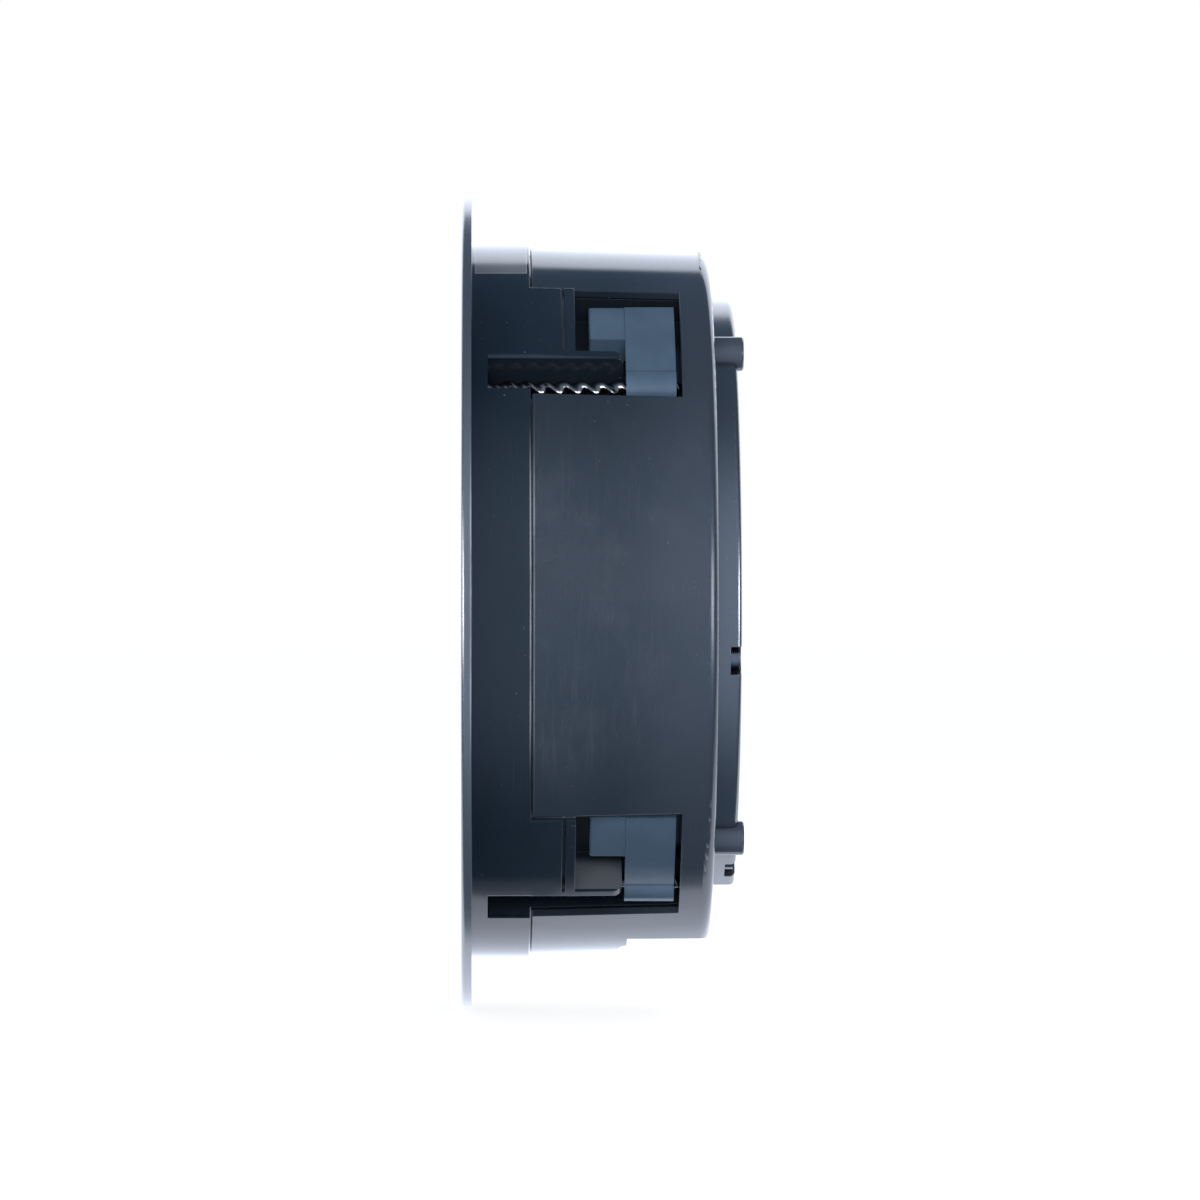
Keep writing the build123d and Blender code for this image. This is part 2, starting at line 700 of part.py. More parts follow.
with BuildPart() as grille_magnets:
    with BuildSketch(front_plane(recess_floor + MAGNET_T)):
        with Locations(*magnet_places):
            Circle(MAGNET_R)
    extrude(amount=MAGNET_T)
save(grille_magnets.part, "grille_magnets")

# Clamp screws and dog-leg clamps, one pair in each tower
screw_tip = POCKET_REAR + SCREW_TIP
clamp_rear = CLAMP_FRONT + CLAMP_LENGTH
foot_pitch = (CLAMP_END_ALONG - FOOT_START_ALONG) / FOOT_TEETH
tooth_line = [
    (FOOT_FRONT + FOOT_TOOTH_DEPTH * (1 - k % 2), FOOT_START_ALONG + k * foot_pitch / 2)
    for k in range(2 * FOOT_TEETH + 1)
]

# One clamp at angle zero: its outer face is round about the speaker's axis, and its barrel runs on the screw
clamp_inner_out = CLAMP_FACE_R - CLAMP_T
clamp_middle_along = (SCREW_ALONG + CLAMP_END_ALONG) / 2
foot_middle_along = (FOOT_START_ALONG + CLAMP_END_ALONG) / 2
with BuildPart() as clamp_foot:
    with BuildSketch(front_plane(CLAMP_FRONT)):
        Circle(CLAMP_FACE_R - FOOT_STEP)
        with Locations((clamp_inner_out + CLAMP_T, foot_middle_along)):
            Rectangle(2 * CLAMP_T, CLAMP_END_ALONG - FOOT_START_ALONG, mode=Mode.INTERSECT)
    extrude(amount=CLAMP_FRONT - FOOT_FRONT)
    with BuildSketch(side_plane(0)):
        with BuildLine():
            Polyline(
                *tooth_line,
                (CLAMP_FRONT, CLAMP_END_ALONG),
                (CLAMP_FRONT, FOOT_START_ALONG),
                close=True,
            )
        make_face()
    extrude(amount=outside, mode=Mode.INTERSECT)

with BuildPart() as clamp_body:
    with BuildSketch(front_plane(clamp_rear)) as clamp_section:
        Circle(CLAMP_FACE_R)
        with Locations((clamp_inner_out + CLAMP_T, clamp_middle_along)):
            Rectangle(2 * CLAMP_T, CLAMP_END_ALONG - SCREW_ALONG, mode=Mode.INTERSECT)
        with Locations((SCREW_OUT, SCREW_ALONG)):
            Circle(CLAMP_BARREL_R)
        crease = clamp_section.vertices().sort_by_distance((CLAMP_FACE_R, SCREW_ALONG + CLAMP_BARREL_R, 0))[0]
        fillet(crease, CLAMP_CREASE_R)
        with Locations((SCREW_OUT, SCREW_ALONG)):
            Circle(bearing_r, mode=Mode.SUBTRACT)
    extrude(amount=CLAMP_LENGTH)
    add(clamp_foot.part)

for place, angle in tower_angles.items():
    with BuildPart() as clamp_screw:
        with BuildSketch(front_plane(web_front, angle)):
            with Locations((SCREW_OUT, SCREW_ALONG)):
                Circle(SCREW_HEAD_R)
        extrude(amount=SCREW_HEAD_T)
        with BuildSketch(front_plane(web_front, angle)):
            with Locations((SCREW_OUT, SCREW_ALONG)):
                Circle(SCREW_R)
        extrude(amount=web_front - screw_tip)
        chamfer(clamp_screw.faces().sort_by(Axis.Y)[-1].edges(), SCREW_TAPER)
        with BuildSketch(front_plane(web_front - SCREW_HEAD_T, angle)):
            with Locations((SCREW_OUT, SCREW_ALONG)):
                Rectangle(CROSS_LENGTH * SCREW_HEAD_R, CROSS_WIDTH * SCREW_HEAD_R)
                Rectangle(CROSS_WIDTH * SCREW_HEAD_R, CROSS_LENGTH * SCREW_HEAD_R)
        extrude(amount=-CROSS_DEPTH * SCREW_HEAD_T, mode=Mode.SUBTRACT)
    save(clamp_screw.part, f"clamp_screw_{place}")

    with BuildPart() as clamp:
        add(clamp_body.part, rotation=(0, -angle, 0))
    save(clamp.part, f"clamp_{place}")

# Woofer: gasket, basket and screws
with BuildPart() as driver_gasket:
    with BuildSketch(front_plane(LEDGE_DEPTH)):
        Circle(basket_r)
        Circle(basket_r - GASKET_W, mode=Mode.SUBTRACT)
        with Locations(*driver_screw_places):
            Circle(DRIVER_SCREW_R + HOLE_GAP, mode=Mode.SUBTRACT)
    extrude(amount=GASKET_T)
save(driver_gasket.part, "driver_gasket")

basket_neck_r = BASKET_SHELF_R - BASKET_SHELF_W
with BuildPart() as driver_basket:
    turned(
        (basket_r, basket_front),
        (basket_r, basket_back),
        (basket_mouth_r + BASKET_T, basket_back),
        (BASKET_SHELF_R + BASKET_T, BASKET_SHELF_DEPTH + BASKET_T),
        (basket_neck_r + BASKET_T, BASKET_SHELF_DEPTH + BASKET_T),
        (basket_neck_r + BASKET_T, TOP_PLATE_DEPTH),
        (BASKET_FLOOR_R, TOP_PLATE_DEPTH),
        (BASKET_FLOOR_R, TOP_PLATE_DEPTH - BASKET_T),
        (basket_neck_r, TOP_PLATE_DEPTH - BASKET_T),
        (basket_neck_r, BASKET_SHELF_DEPTH),
        (BASKET_SHELF_R, BASKET_SHELF_DEPTH),
        (basket_mouth_r, basket_back),
        (basket_mouth_r, basket_front),
    )
    half_window = radians(BASKET_WINDOW_ANGLE / 2)
    window_start = BASKET_SHELF_R + 2 * BASKET_T
    window_end = basket_mouth_r - 2 * BASKET_T
    with BuildSketch(front_plane(BASKET_SHELF_DEPTH + 2 * BASKET_T)):
        with PolarLocations(0, BASKET_WINDOWS, start_angle=180 / BASKET_WINDOWS):
            Polygon(
                (window_start * cos(half_window), -window_start * sin(half_window)),
                (window_end * cos(half_window), -window_end * sin(half_window)),
                (window_end, 0),
                (window_end * cos(half_window), window_end * sin(half_window)),
                (window_start * cos(half_window), window_start * sin(half_window)),
                (window_start, 0),
                align=None,
            )
    extrude(amount=BASKET_SHELF_DEPTH + 2 * BASKET_T - basket_back, mode=Mode.SUBTRACT)
    with BuildSketch(front_plane(basket_back)):
        with Locations(*driver_screw_places):
            Circle(DRIVER_SCREW_R + HOLE_GAP)
    extrude(amount=BASKET_T, mode=Mode.SUBTRACT)
save(driver_basket.part, "driver_basket")

save(
    cross_head_screws(
        front_plane(basket_front),
        driver_screw_places,
        DRIVER_SCREW_HEAD_R,
        DRIVER_SCREW_HEAD_T,
        DRIVER_SCREW_R,
        DRIVER_SCREW_LENGTH,
    ),
    "driver_screws",
)

# Surround: a half roll between the basket's rim and the cone's edge, which lies deeper
landing_front = basket_front - SURROUND_T
cone_edge_front = basket_front + SURROUND_DROP
roll_inside = ROLL_R - SURROUND_T
cone_r = roll_ring_r - roll_inside
lap_r = cone_r - SURROUND_LAP
with BuildPart() as surround:
    with BuildSketch(Plane.XY):
        with BuildLine():
            outer_roll = ThreePointArc(
                (roll_ring_r + ROLL_R, landing_front),
                (roll_ring_r, landing_front - ROLL_R),
                (roll_ring_r - ROLL_R, landing_front),
            )
            inner_roll = ThreePointArc(
                (roll_ring_r - roll_inside, landing_front),
                (roll_ring_r, landing_front - roll_inside),
                (roll_ring_r + roll_inside, landing_front),
            )
            Polyline(
                outer_roll @ 1,
                (roll_ring_r - ROLL_R, cone_edge_front - SURROUND_T),
                (lap_r, cone_edge_front - SURROUND_T),
                (lap_r, cone_edge_front),
                (cone_r, cone_edge_front),
                inner_roll @ 0,
            )
            Polyline(
                inner_roll @ 1,
                (roll_ring_r + roll_inside, basket_front),
                (surround_r, basket_front),
                (surround_r, landing_front),
                outer_roll @ 0,
            )
        make_face()
    revolve(axis=Axis.Y)
save(surround.part, "surround")

with BuildPart() as woofer_cone:
    with BuildSketch(Plane.XY):
        with BuildLine():
            cone_middle = ((lap_r + FORMER_R) / 2, (cone_edge_front + CONE_NECK) / 2 + CONE_CURVE)
            cone_face = ThreePointArc((lap_r, cone_edge_front), cone_middle, (FORMER_R, CONE_NECK))
            cone_back = ThreePointArc(
                (FORMER_R, CONE_NECK + CONE_T),
                (cone_middle[0], cone_middle[1] + CONE_T),
                (lap_r, cone_edge_front + CONE_T),
            )
            Line(cone_face @ 1, cone_back @ 0)
            Polyline(
                cone_back @ 1,
                (cone_r, cone_edge_front + CONE_T),
                (cone_r, cone_edge_front),
                cone_face @ 0,
            )
        make_face()
    revolve(axis=Axis.Y)
save(woofer_cone.part, "woofer_cone")

coil_front = TOP_PLATE_DEPTH - COIL_OVERHANG
coil_rear = ferrite_front + COIL_OVERHANG
with BuildPart() as voice_coil:
    turned(
        (FORMER_R - FORMER_T, FORMER_FRONT),
        (FORMER_R, FORMER_FRONT),
        (FORMER_R, coil_front),
        (FORMER_R + COIL_T, coil_front),
        (FORMER_R + COIL_T, coil_rear),
        (FORMER_R - FORMER_T, coil_rear),
    )
save(voice_coil.part, "voice_coil")

spider_out = BASKET_SHELF_R - SPIDER_LAP
wave_step = (spider_out - FORMER_R) / (2 * SPIDER_WAVES)
spider_front = BASKET_SHELF_DEPTH - SPIDER_T
spider_line = [
    (FORMER_R + k * wave_step, spider_front - SPIDER_WAVE_H * (k % 2)) for k in range(2 * SPIDER_WAVES + 1)
]
spider_rim = (BASKET_SHELF_R, spider_front)
with BuildPart() as spider:
    turned(
        *spider_line,
        spider_rim,
        *((r, depth + SPIDER_T) for r, depth in reversed([*spider_line, spider_rim])),
    )
save(spider.part, "spider")

# Magnet system: plate, ring and T-shaped yoke with a bored pole
pole_r = FORMER_R - FORMER_T - GAP_CLEARANCE
plate_bore_r = FORMER_R + COIL_T + GAP_CLEARANCE
with BuildPart() as top_plate:
    turned(
        (plate_bore_r, TOP_PLATE_DEPTH),
        (TOP_PLATE_R, TOP_PLATE_DEPTH),
        (TOP_PLATE_R, ferrite_front),
        (plate_bore_r, ferrite_front),
    )
save(top_plate.part, "top_plate")

with BuildPart() as ferrite_magnet:
    turned(
        (FERRITE_BORE_R, ferrite_front),
        (FERRITE_R, ferrite_front),
        (FERRITE_R, yoke_front),
        (FERRITE_BORE_R, yoke_front),
    )
save(ferrite_magnet.part, "ferrite_magnet")

with BuildPart() as pole_yoke:
    turned(
        (POST_R + POST_FIT, TOP_PLATE_DEPTH),
        (pole_r, TOP_PLATE_DEPTH),
        (pole_r, yoke_front),
        (YOKE_R, yoke_front),
        (YOKE_R, yoke_rear),
        (POST_R + POST_FIT, yoke_rear),
    )
save(pole_yoke.part, "pole_yoke")

# Coaxial tweeter on a hollow post through the pole
with BuildPart() as tweeter_post:
    turned(
        (POST_BORE_R, TWEETER_REAR),
        (POST_R, TWEETER_REAR),
        (POST_R, yoke_rear + NUT_T),
        (POST_BORE_R, yoke_rear + NUT_T),
    )
save(tweeter_post.part, "tweeter_post")

with BuildPart() as post_nut:
    with BuildSketch(front_plane(yoke_rear + NUT_T)):
        RegularPolygon(NUT_ACROSS / 2, 6, major_radius=False)
        Circle(POST_R + POST_FIT, mode=Mode.SUBTRACT)
    extrude(amount=NUT_T)
save(post_nut.part, "post_nut")

dome_front = DOME_DEPTH - DOME_T
tweeter_bore_r = DOME_R + TWEETER_LIP
with BuildPart() as tweeter_housing:
    turned(
        (TWEETER_R - TWEETER_LIP, TWEETER_FRONT),
        (TWEETER_R, TWEETER_FRONT),
        (TWEETER_R, dome_front),
        (TWEETER_BODY_R, dome_front + TWEETER_R - TWEETER_BODY_R - TWEETER_WALL),
        (TWEETER_BODY_R, TWEETER_REAR),
        (POST_BORE_R, TWEETER_REAR),
        (POST_BORE_R, TWEETER_REAR - TWEETER_WALL),
        (tweeter_bore_r, TWEETER_REAR - TWEETER_WALL),
        (tweeter_bore_r, DOME_DEPTH),
        (DOME_RIM_R + POST_FIT, DOME_DEPTH),
        (DOME_RIM_R + POST_FIT, dome_front),
    )
save(tweeter_housing.part, "tweeter_housing")

with BuildPart() as tweeter_dome:
    with BuildSketch(Plane.XY):
        with BuildLine():
            dome_outer = TangentArc((0, dome_front - DOME_H), (DOME_R, dome_front), tangent=(1, 0))
            dome_inner = TangentArc((0, DOME_DEPTH - DOME_H), (DOME_R, DOME_DEPTH), tangent=(1, 0))
            Polyline(dome_outer @ 1, (DOME_RIM_R, dome_front), (DOME_RIM_R, DOME_DEPTH), dome_inner @ 1)
            Line(dome_inner @ 0, dome_outer @ 0)
        make_face()
    revolve(axis=Axis.Y)
save(tweeter_dome.part, "tweeter_dome")

magnet_rear = TWEETER_REAR - TWEETER_WALL
with BuildPart() as tweeter_magnet:
    turned(
        (0, magnet_rear - TWEETER_MAGNET_T),
        (TWEETER_MAGNET_R, magnet_rear - TWEETER_MAGNET_T),
        (TWEETER_MAGNET_R, magnet_rear),
        (0, magnet_rear),
    )
save(tweeter_magnet.part, "tweeter_magnet")

# Crossover board on the cover's standoffs, with its components towards the front
board_screw_places = [
    (sx * (BOARD_W / 2 - BOARD_SCREW_INSET), board_middle + sz * (BOARD_H / 2 - BOARD_SCREW_INSET))
    for sx in (-1, 1)
    for sz in (-1, 1)
]
with BuildPart() as crossover_board:
    with BuildSketch(front_plane(board_back)):
        with Locations((0, board_middle)):
            RectangleRounded(BOARD_W, BOARD_H, BOARD_CORNER)
        with Locations(*board_screw_places):
            Circle(BOARD_SCREW_R + HOLE_GAP, mode=Mode.SUBTRACT)
    extrude(amount=BOARD_T)
save(crossover_board.part, "crossover_board")

save(
    cross_head_screws(
        front_plane(BOARD_DEPTH),
        board_screw_places,
        BOARD_SCREW_HEAD_R,
        BOARD_SCREW_HEAD_T,
        BOARD_SCREW_R,
        BOARD_SCREW_LENGTH,
    ),
    "crossover_screws",
)

with BuildPart() as crossover_coil:
    with BuildSketch(front_plane(BOARD_DEPTH)):
        with Locations((COIL_SHIFT, board_middle)):
            Circle(COIL_OUTER_R)
            Circle(COIL_INNER_R, mode=Mode.SUBTRACT)
    extrude(amount=COIL_H)
save(crossover_coil.part, "crossover_coil")

with BuildPart() as crossover_capacitor:
    with BuildSketch(Plane.YZ.offset(COMPONENT_SHIFT - CAPACITOR_L / 2)):
        with Locations((BOARD_DEPTH - CAPACITOR_R, board_middle + CAPACITOR_SHIFT)):
            Circle(CAPACITOR_R)
    extrude(amount=CAPACITOR_L)
save(crossover_capacitor.part, "crossover_capacitor")

with BuildPart() as crossover_resistor:
    with BuildSketch(front_plane(BOARD_DEPTH)):
        with Locations((COMPONENT_SHIFT, board_middle + RESISTOR_SHIFT)):
            Rectangle(RESISTOR_L, RESISTOR_S)
    extrude(amount=RESISTOR_S)
save(crossover_resistor.part, "crossover_resistor")

# Push terminals in the flat: the block's nose comes through from inside and faces down
terminal_places = {"red": -TERMINAL_PITCH / 2, "black": TERMINAL_PITCH / 2}
rim_top = -flat_inner_drop + RIM_T
body_top = rim_top + TERMINAL_BODY_H
lever_seat = terminal_low + LEVER_SEAT
with BuildPart() as terminal_block:
    with BuildSketch(down_plane(body_top)):
        with Locations((0, -TERMINAL_DEPTH)):
            RectangleRounded(NOSE_W, NOSE_L, NOSE_CORNER)
    extrude(amount=body_top - terminal_low)
    with BuildSketch(down_plane(rim_top)):
        with Locations((0, -TERMINAL_DEPTH)):
            RectangleRounded(RIM_W, RIM_L, NOSE_CORNER)
    extrude(amount=RIM_T)
    with BuildSketch(down_plane(body_top)):
        with Locations(*((x, -TERMINAL_DEPTH - LEVER_SHIFT) for x in terminal_places.values())):
            Rectangle(LEVER_W + 2 * LEVER_GAP, LEVER_L + 2 * LEVER_GAP)
    extrude(amount=body_top - terminal_low, mode=Mode.SUBTRACT)
    with BuildSketch(down_plane(body_top)):
        with Locations(*((x, -TERMINAL_DEPTH - LEVER_SHIFT) for x in terminal_places.values())):
            Rectangle(LEVER_W + 2 * LEVER_LIP + 2 * LEVER_GAP, LEVER_L + 2 * LEVER_LIP + 2 * LEVER_GAP)
    extrude(amount=body_top - lever_seat, mode=Mode.SUBTRACT)
    with BuildSketch(down_plane(terminal_low + WIRE_REACH)):
        with Locations(*((x, -TERMINAL_DEPTH - WIRE_SHIFT) for x in terminal_places.values())):
            Circle(WIRE_R)
    extrude(amount=WIRE_REACH, mode=Mode.SUBTRACT)
    with BuildSketch(down_plane(rim_top)):
        with Locations(*terminal_screw_places):
            Circle(TERMINAL_SCREW_R + HOLE_GAP)
    extrude(amount=RIM_T, mode=Mode.SUBTRACT)
save(terminal_block.part, "terminal_block")

for colour, x in terminal_places.items():
    lever_place = (x, -TERMINAL_DEPTH - LEVER_SHIFT)
    lip_low = lever_seat + LEVER_GAP
    with BuildPart() as lever:
        with BuildSketch(down_plane(lip_low + LEVER_LIP_T)):
            with Locations(lever_place):
                Rectangle(LEVER_W + 2 * LEVER_LIP, LEVER_L + 2 * LEVER_LIP)
        extrude(amount=LEVER_LIP_T)
        with BuildSketch(down_plane(lip_low + LEVER_LIP_T + LEVER_TAIL)):
            with Locations(lever_place):
                RectangleRounded(LEVER_W, LEVER_L, LEVER_CORNER)
        extrude(amount=lip_low + LEVER_LIP_T + LEVER_TAIL - terminal_low - LEVER_SET_BACK)
    save(lever.part, f"terminal_lever_{colour}")

with BuildPart() as terminal_contacts:
    with BuildSketch(down_plane(body_top + CONTACT_T)):
        with Locations(*((x, -TERMINAL_DEPTH - LEVER_SHIFT / 2) for x in terminal_places.values())):
            Rectangle(CONTACT_W, CONTACT_L)
    extrude(amount=CONTACT_T)
    with BuildSketch(down_plane(body_top + CONTACT_T + TAB_H)):
        with Locations(*((x, -TERMINAL_DEPTH) for x in terminal_places.values())):
            Rectangle(TAB_W, CONTACT_T)
    extrude(amount=TAB_H)
save(terminal_contacts.part, "terminal_contacts")

up_plane = Plane(origin=(0, 0, rim_top), x_dir=(1, 0, 0), z_dir=(0, 0, 1))
save(
    cross_head_screws(
        up_plane,
        [(x, -y) for x, y in terminal_screw_places],
        TERMINAL_SCREW_HEAD_R,
        TERMINAL_SCREW_HEAD_T,
        TERMINAL_SCREW_R,
        RIM_T + CAN_WALL - TERMINAL_SCREW_END,
    ),
    "terminal_screws",
)
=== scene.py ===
"""Finishes and visible detail of a round in-wall loudspeaker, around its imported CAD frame, in metres.

The speaker's axis is Y: the front faces -Y, the can runs to +Y, and +Z is up.
"""
import json
import math

import bpy
import numpy as np
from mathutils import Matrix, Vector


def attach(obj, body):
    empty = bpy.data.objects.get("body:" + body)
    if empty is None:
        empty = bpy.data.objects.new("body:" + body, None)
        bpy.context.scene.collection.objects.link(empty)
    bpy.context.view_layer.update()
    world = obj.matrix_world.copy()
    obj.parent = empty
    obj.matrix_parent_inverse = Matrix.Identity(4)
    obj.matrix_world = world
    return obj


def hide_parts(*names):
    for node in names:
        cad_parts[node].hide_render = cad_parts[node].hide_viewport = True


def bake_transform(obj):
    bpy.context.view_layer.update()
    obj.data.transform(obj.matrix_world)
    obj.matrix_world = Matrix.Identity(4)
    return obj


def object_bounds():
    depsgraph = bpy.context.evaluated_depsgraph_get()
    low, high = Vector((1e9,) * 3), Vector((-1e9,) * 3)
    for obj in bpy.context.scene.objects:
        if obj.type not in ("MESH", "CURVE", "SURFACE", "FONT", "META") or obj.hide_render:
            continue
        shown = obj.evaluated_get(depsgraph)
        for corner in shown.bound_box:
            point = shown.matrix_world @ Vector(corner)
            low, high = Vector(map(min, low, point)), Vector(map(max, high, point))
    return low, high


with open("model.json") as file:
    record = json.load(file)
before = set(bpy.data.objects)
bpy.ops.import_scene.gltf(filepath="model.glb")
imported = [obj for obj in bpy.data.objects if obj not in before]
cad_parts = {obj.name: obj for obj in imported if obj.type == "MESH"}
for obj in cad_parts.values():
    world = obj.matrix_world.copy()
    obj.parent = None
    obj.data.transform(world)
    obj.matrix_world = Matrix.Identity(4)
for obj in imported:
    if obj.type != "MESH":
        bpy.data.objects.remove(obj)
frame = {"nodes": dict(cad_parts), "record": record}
cad_low, cad_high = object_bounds()

MM = 0.001
DEGREES = 180 / math.pi

# Where the photograph was taken from: the flange lies on the lens axis, left of the picture's middle
PHOTO_PIXELS = 1200
MM_PER_PIXEL = 0.283
FLANGE_PIXEL = 471.5
CAMERA_PIXELS = 6300
CAMERA_DISTANCE = CAMERA_PIXELS * MM_PER_PIXEL * MM
CAMERA_REACH = 100.0
SENSOR = 36.0

# Clamp screws, as in the solids: place round the towers, then the turned shape along Y, in millimetres
TOWER_ANGLES = {"top_right": 47.0, "bottom_right": -47.9, "top_left": 133.0, "bottom_left": 227.9}
SCREW_OUT, SCREW_ALONG = 91.6, -14.6
SCREW_R, SCREW_ROOT_R, SCREW_TIP_R = 2.5, 1.55, 0.7
SCREW_END, SCREW_END_R, SCREW_END_EASE = 58.9, 0.2, 0.2
SCREW_HEAD_R, SCREW_HEAD_FRONT, SCREW_HEAD_BACK = 4.4, -1.0, 1.4
HEAD_FRONT_EASE, HEAD_BACK_EASE, HEAD_BACK_R = 0.45, 0.3, 4.1
HEAD_FACE_RINGS = (0.25, 0.6, 0.95, 1.3, 1.65, 2.0, 2.35, 2.8, 3.5, 4.0)
HEAD_FACE_DROP = 0.12
SHANK_R, SHANK_START, SHANK_STOP = 2.0, 0.05, 0.3
THREAD_FRONT, THREAD_END, THREAD_END_R = 5.0, 57.4, 1.5
THREAD_LEAD, THREAD_STARTS = 9.9, 2
THREAD_STEP, THREAD_SHARPNESS = 0.33, 0.8
THREAD_RUN_IN, THREAD_RUN_OUT = 4.0, 1.5
CROSS_HALF_W, CROSS_HALF_L, CROSS_DEPTH = 0.5, 2.1, 1.3
CROSS_SIDE_EASE, CROSS_END_EASE = 0.2, 0.4
SCREW_AROUND = 48

# Grille, in millimetres
GRILLE_R, GRILLE_FRONT, GRILLE_BACK, GRILLE_ROUND = 108.5, -2.8, -1.8, 0.6
GRILLE_SHEET = 0.6
PIERCED_R, PIERCED_MARGIN = 105.6, 0.2
HOLE_PITCH, HOLE_R = 3.0, 1.02
CURL_DEGREES = (0, 30, 60, 90)
SAME_POINT = 0.01

# Half-roll surround, in millimetres: radius and depth of its middle line's corners
ROLL_RING_R, ROLL_R, ROLL_DEPTH = 65.0, 4.4, 10.2
SURROUND_R, SURROUND_DEPTH = 75.5, 10.5
LANDING_R, LANDING_END_R, LANDING_END_RISE = 72.5, 70.2, 0.05
LEG_START, LEG_STOP = 0.5, 0.4
LAP_FOOT_R, LAP_MIDDLE_R, LAP_R, LAP_DEPTH = 59.9, 58.5, 56.3, 13.1
SURROUND_T = 0.6
SURROUND_AROUND = 128
ROLL_POINTS, LEG_POINTS = 17, 5

# Noise, in cycles per metre, and the steps that cut it: slow drift of tone, mould grain and specks of dust
CLOUD, CAN_CLOUD, PEBBLE, SPECKS = 38.0, 30.0, 4200.0, 1300.0
DRIFT, SPECK = (0.3, 0.7), (0.80, 0.815)

# Where the finishes change: the two ends of each smooth step, in millimetres or in degrees from the top
FLANGE_BACK_Y, FLANGE_RIM_R = (-0.12, 0.03), (113.2, 114.6)
# Back edge of the flange's rim, pale at mid-height: a painted highlight
HIGHLIT_RIM_EDGE_Y, HIGHLIT_RIM_EDGE_Z = (-0.5, -0.36), (18.0, 48.0)
RING_FACE_R, BLOCK_Y = (100.4, 100.5), (2.0, 30.0)
PRINT_FRONT_Y, PRINT_REAR_Y, PRINT_TURN = (0.9, 0.95), (15.3, 15.35), (26.5, 26.6)
INSET_FRONT_Y, INSET_REAR_Y, INSET_TURN = (1.1, 1.2), (14.95, 15.05), (26.2, 26.3)
WITHIN_Y, WITHIN_R = (4.6, 5.0), (99.2, 99.6)
# Tower shelves: dust on their upward faces, pale enough to be painted light as well
SHELF_R, SHELF_FACING, SHELF_SLOPE = (87.5, 91.0), (0.35, 0.65), (1.45, 1.6)
# Rear edge of the ring, pale at mid-height: a painted highlight
RING_EDGE_HIGHLIGHT_R, RING_EDGE_HIGHLIGHT_Y, RING_EDGE_HIGHLIGHT_Z = (100.3, 100.5), (15.5, 15.65), (24.0, 50.0)
PANEL_Z, CAN_REAR_Y, BOSS_Y = (30.0, 64.0), (34.0, 62.0), (66.2, 66.8)
# Front edge of the can, pale at mid-height: a painted highlight
CAN_EDGE_Y, CAN_EDGE_Z = (16.85, 17.05), (10.0, 50.0)

# Linear colours of the frame and the can, as pairs where the tone drifts between two
RING_TONES = (0.0062, 0.0145, 0.0265), (0.0092, 0.0185, 0.0325)
BLOCK_TONES = (0.015, 0.026, 0.041), (0.021, 0.034, 0.052)
WITHIN_TONES = (0.015, 0.023, 0.034), (0.021, 0.031, 0.044)
RIM_TONES = (0.056, 0.063, 0.082), (0.068, 0.076, 0.098)
FLANGE_TONE = (0.024, 0.027, 0.033)
PRINT_TONE, PRINT_LINE = (0.27, 0.283, 0.31), (0.5, 0.51, 0.54)
# Dust on the tower shelves, also painted light that makes their upward faces lighter
SHELF_DUST_AND_LIGHT = (0.150, 0.168, 0.200)
# Painted highlights on the ring's rear edge and on the flange rim's back edge
RING_EDGE_HIGHLIGHT_TONE, RIM_EDGE_HIGHLIGHT_TONE = (0.40, 0.43, 0.48), (0.44, 0.47, 0.52)
SCRATCH_TONE, RING_SPECK_TONE, SPECK_TONE = (0.11, 0.12, 0.14), (0.4, 0.41, 0.43), (0.35, 0.36, 0.38)
CAN_TONES = (0.024, 0.036, 0.053), (0.033, 0.046, 0.065)
CAN_REAR_TONE, BOSS_TONE = (0.066, 0.084, 0.115), (0.098, 0.118, 0.155)
# The last tone here is a painted highlight on the can's front edge
SCUFF_TONE, SMUDGE_TONE, CAN_EDGE_HIGHLIGHT_TONE = (0.085, 0.095, 0.115), (0.070, 0.086, 0.110), (0.52, 0.56, 0.62)

# Studio: the two ends of each smooth step, in degrees round the axis from +X or as parts of a direction
ABOVE_TURN, BELOW_TURN, DUSK_TURN = (137.5, 139.5), (-112.0, -105.5), (-105.5, -99.0)
BELOW_FADE_TURN = (-150.0, -112.0)
SWEEP_ACROSS, WALL_TURN, WALL_ACROSS = (0.86, 0.94), (18.0, 80.0), (0.86, 0.97)
STRIP_NEAR, STRIP_FAR, STRIP_SIDE, STRIP_HEIGHT = (0.64, 0.74), (0.88, 0.94), (0.0, 0.2), (0.05, 0.30)
ROOM_TONE, WALL_TONE, FILL_TONE = (0.11, 0.18, 0.28), (0.56, 0.74, 1.0), (0.26, 0.275, 0.30)
BELOW_TONES, ABOVE_TONE = ((1.36, 1.48, 1.74), (1.62, 1.76, 2.07)), (1.85, 2.0, 2.3)
STRIP_TONE = (11.0, 11.8, 13.2)
BLACK, WHITE = (0.0, 0.0, 0.0), (1.0, 1.0, 1.0)

# Soft boxes: name, place, width and height in metres, power in watts, and whether gloss shows them
SOFT_BOXES = (
    ("front_box", (2.2, 0.0, 0.1), 2.0, 1.6, 37.0, False),
    ("left_strip", (0.3, -1.9, 0.08), 0.5, 0.75, 8.0, True),
    ("back_fill", (-1.7, 0.6, 1.2), 1.2, 1.2, 16.0, False),
)

# Floor, in metres: half its width and its gap under the flange's rim; then its tone and its glow in view
FLOOR_SIZE, FLOOR_GAP = 12.0, 0.0005
FLOOR_TONE, FLOOR_GLOW = 0.5, 0.86


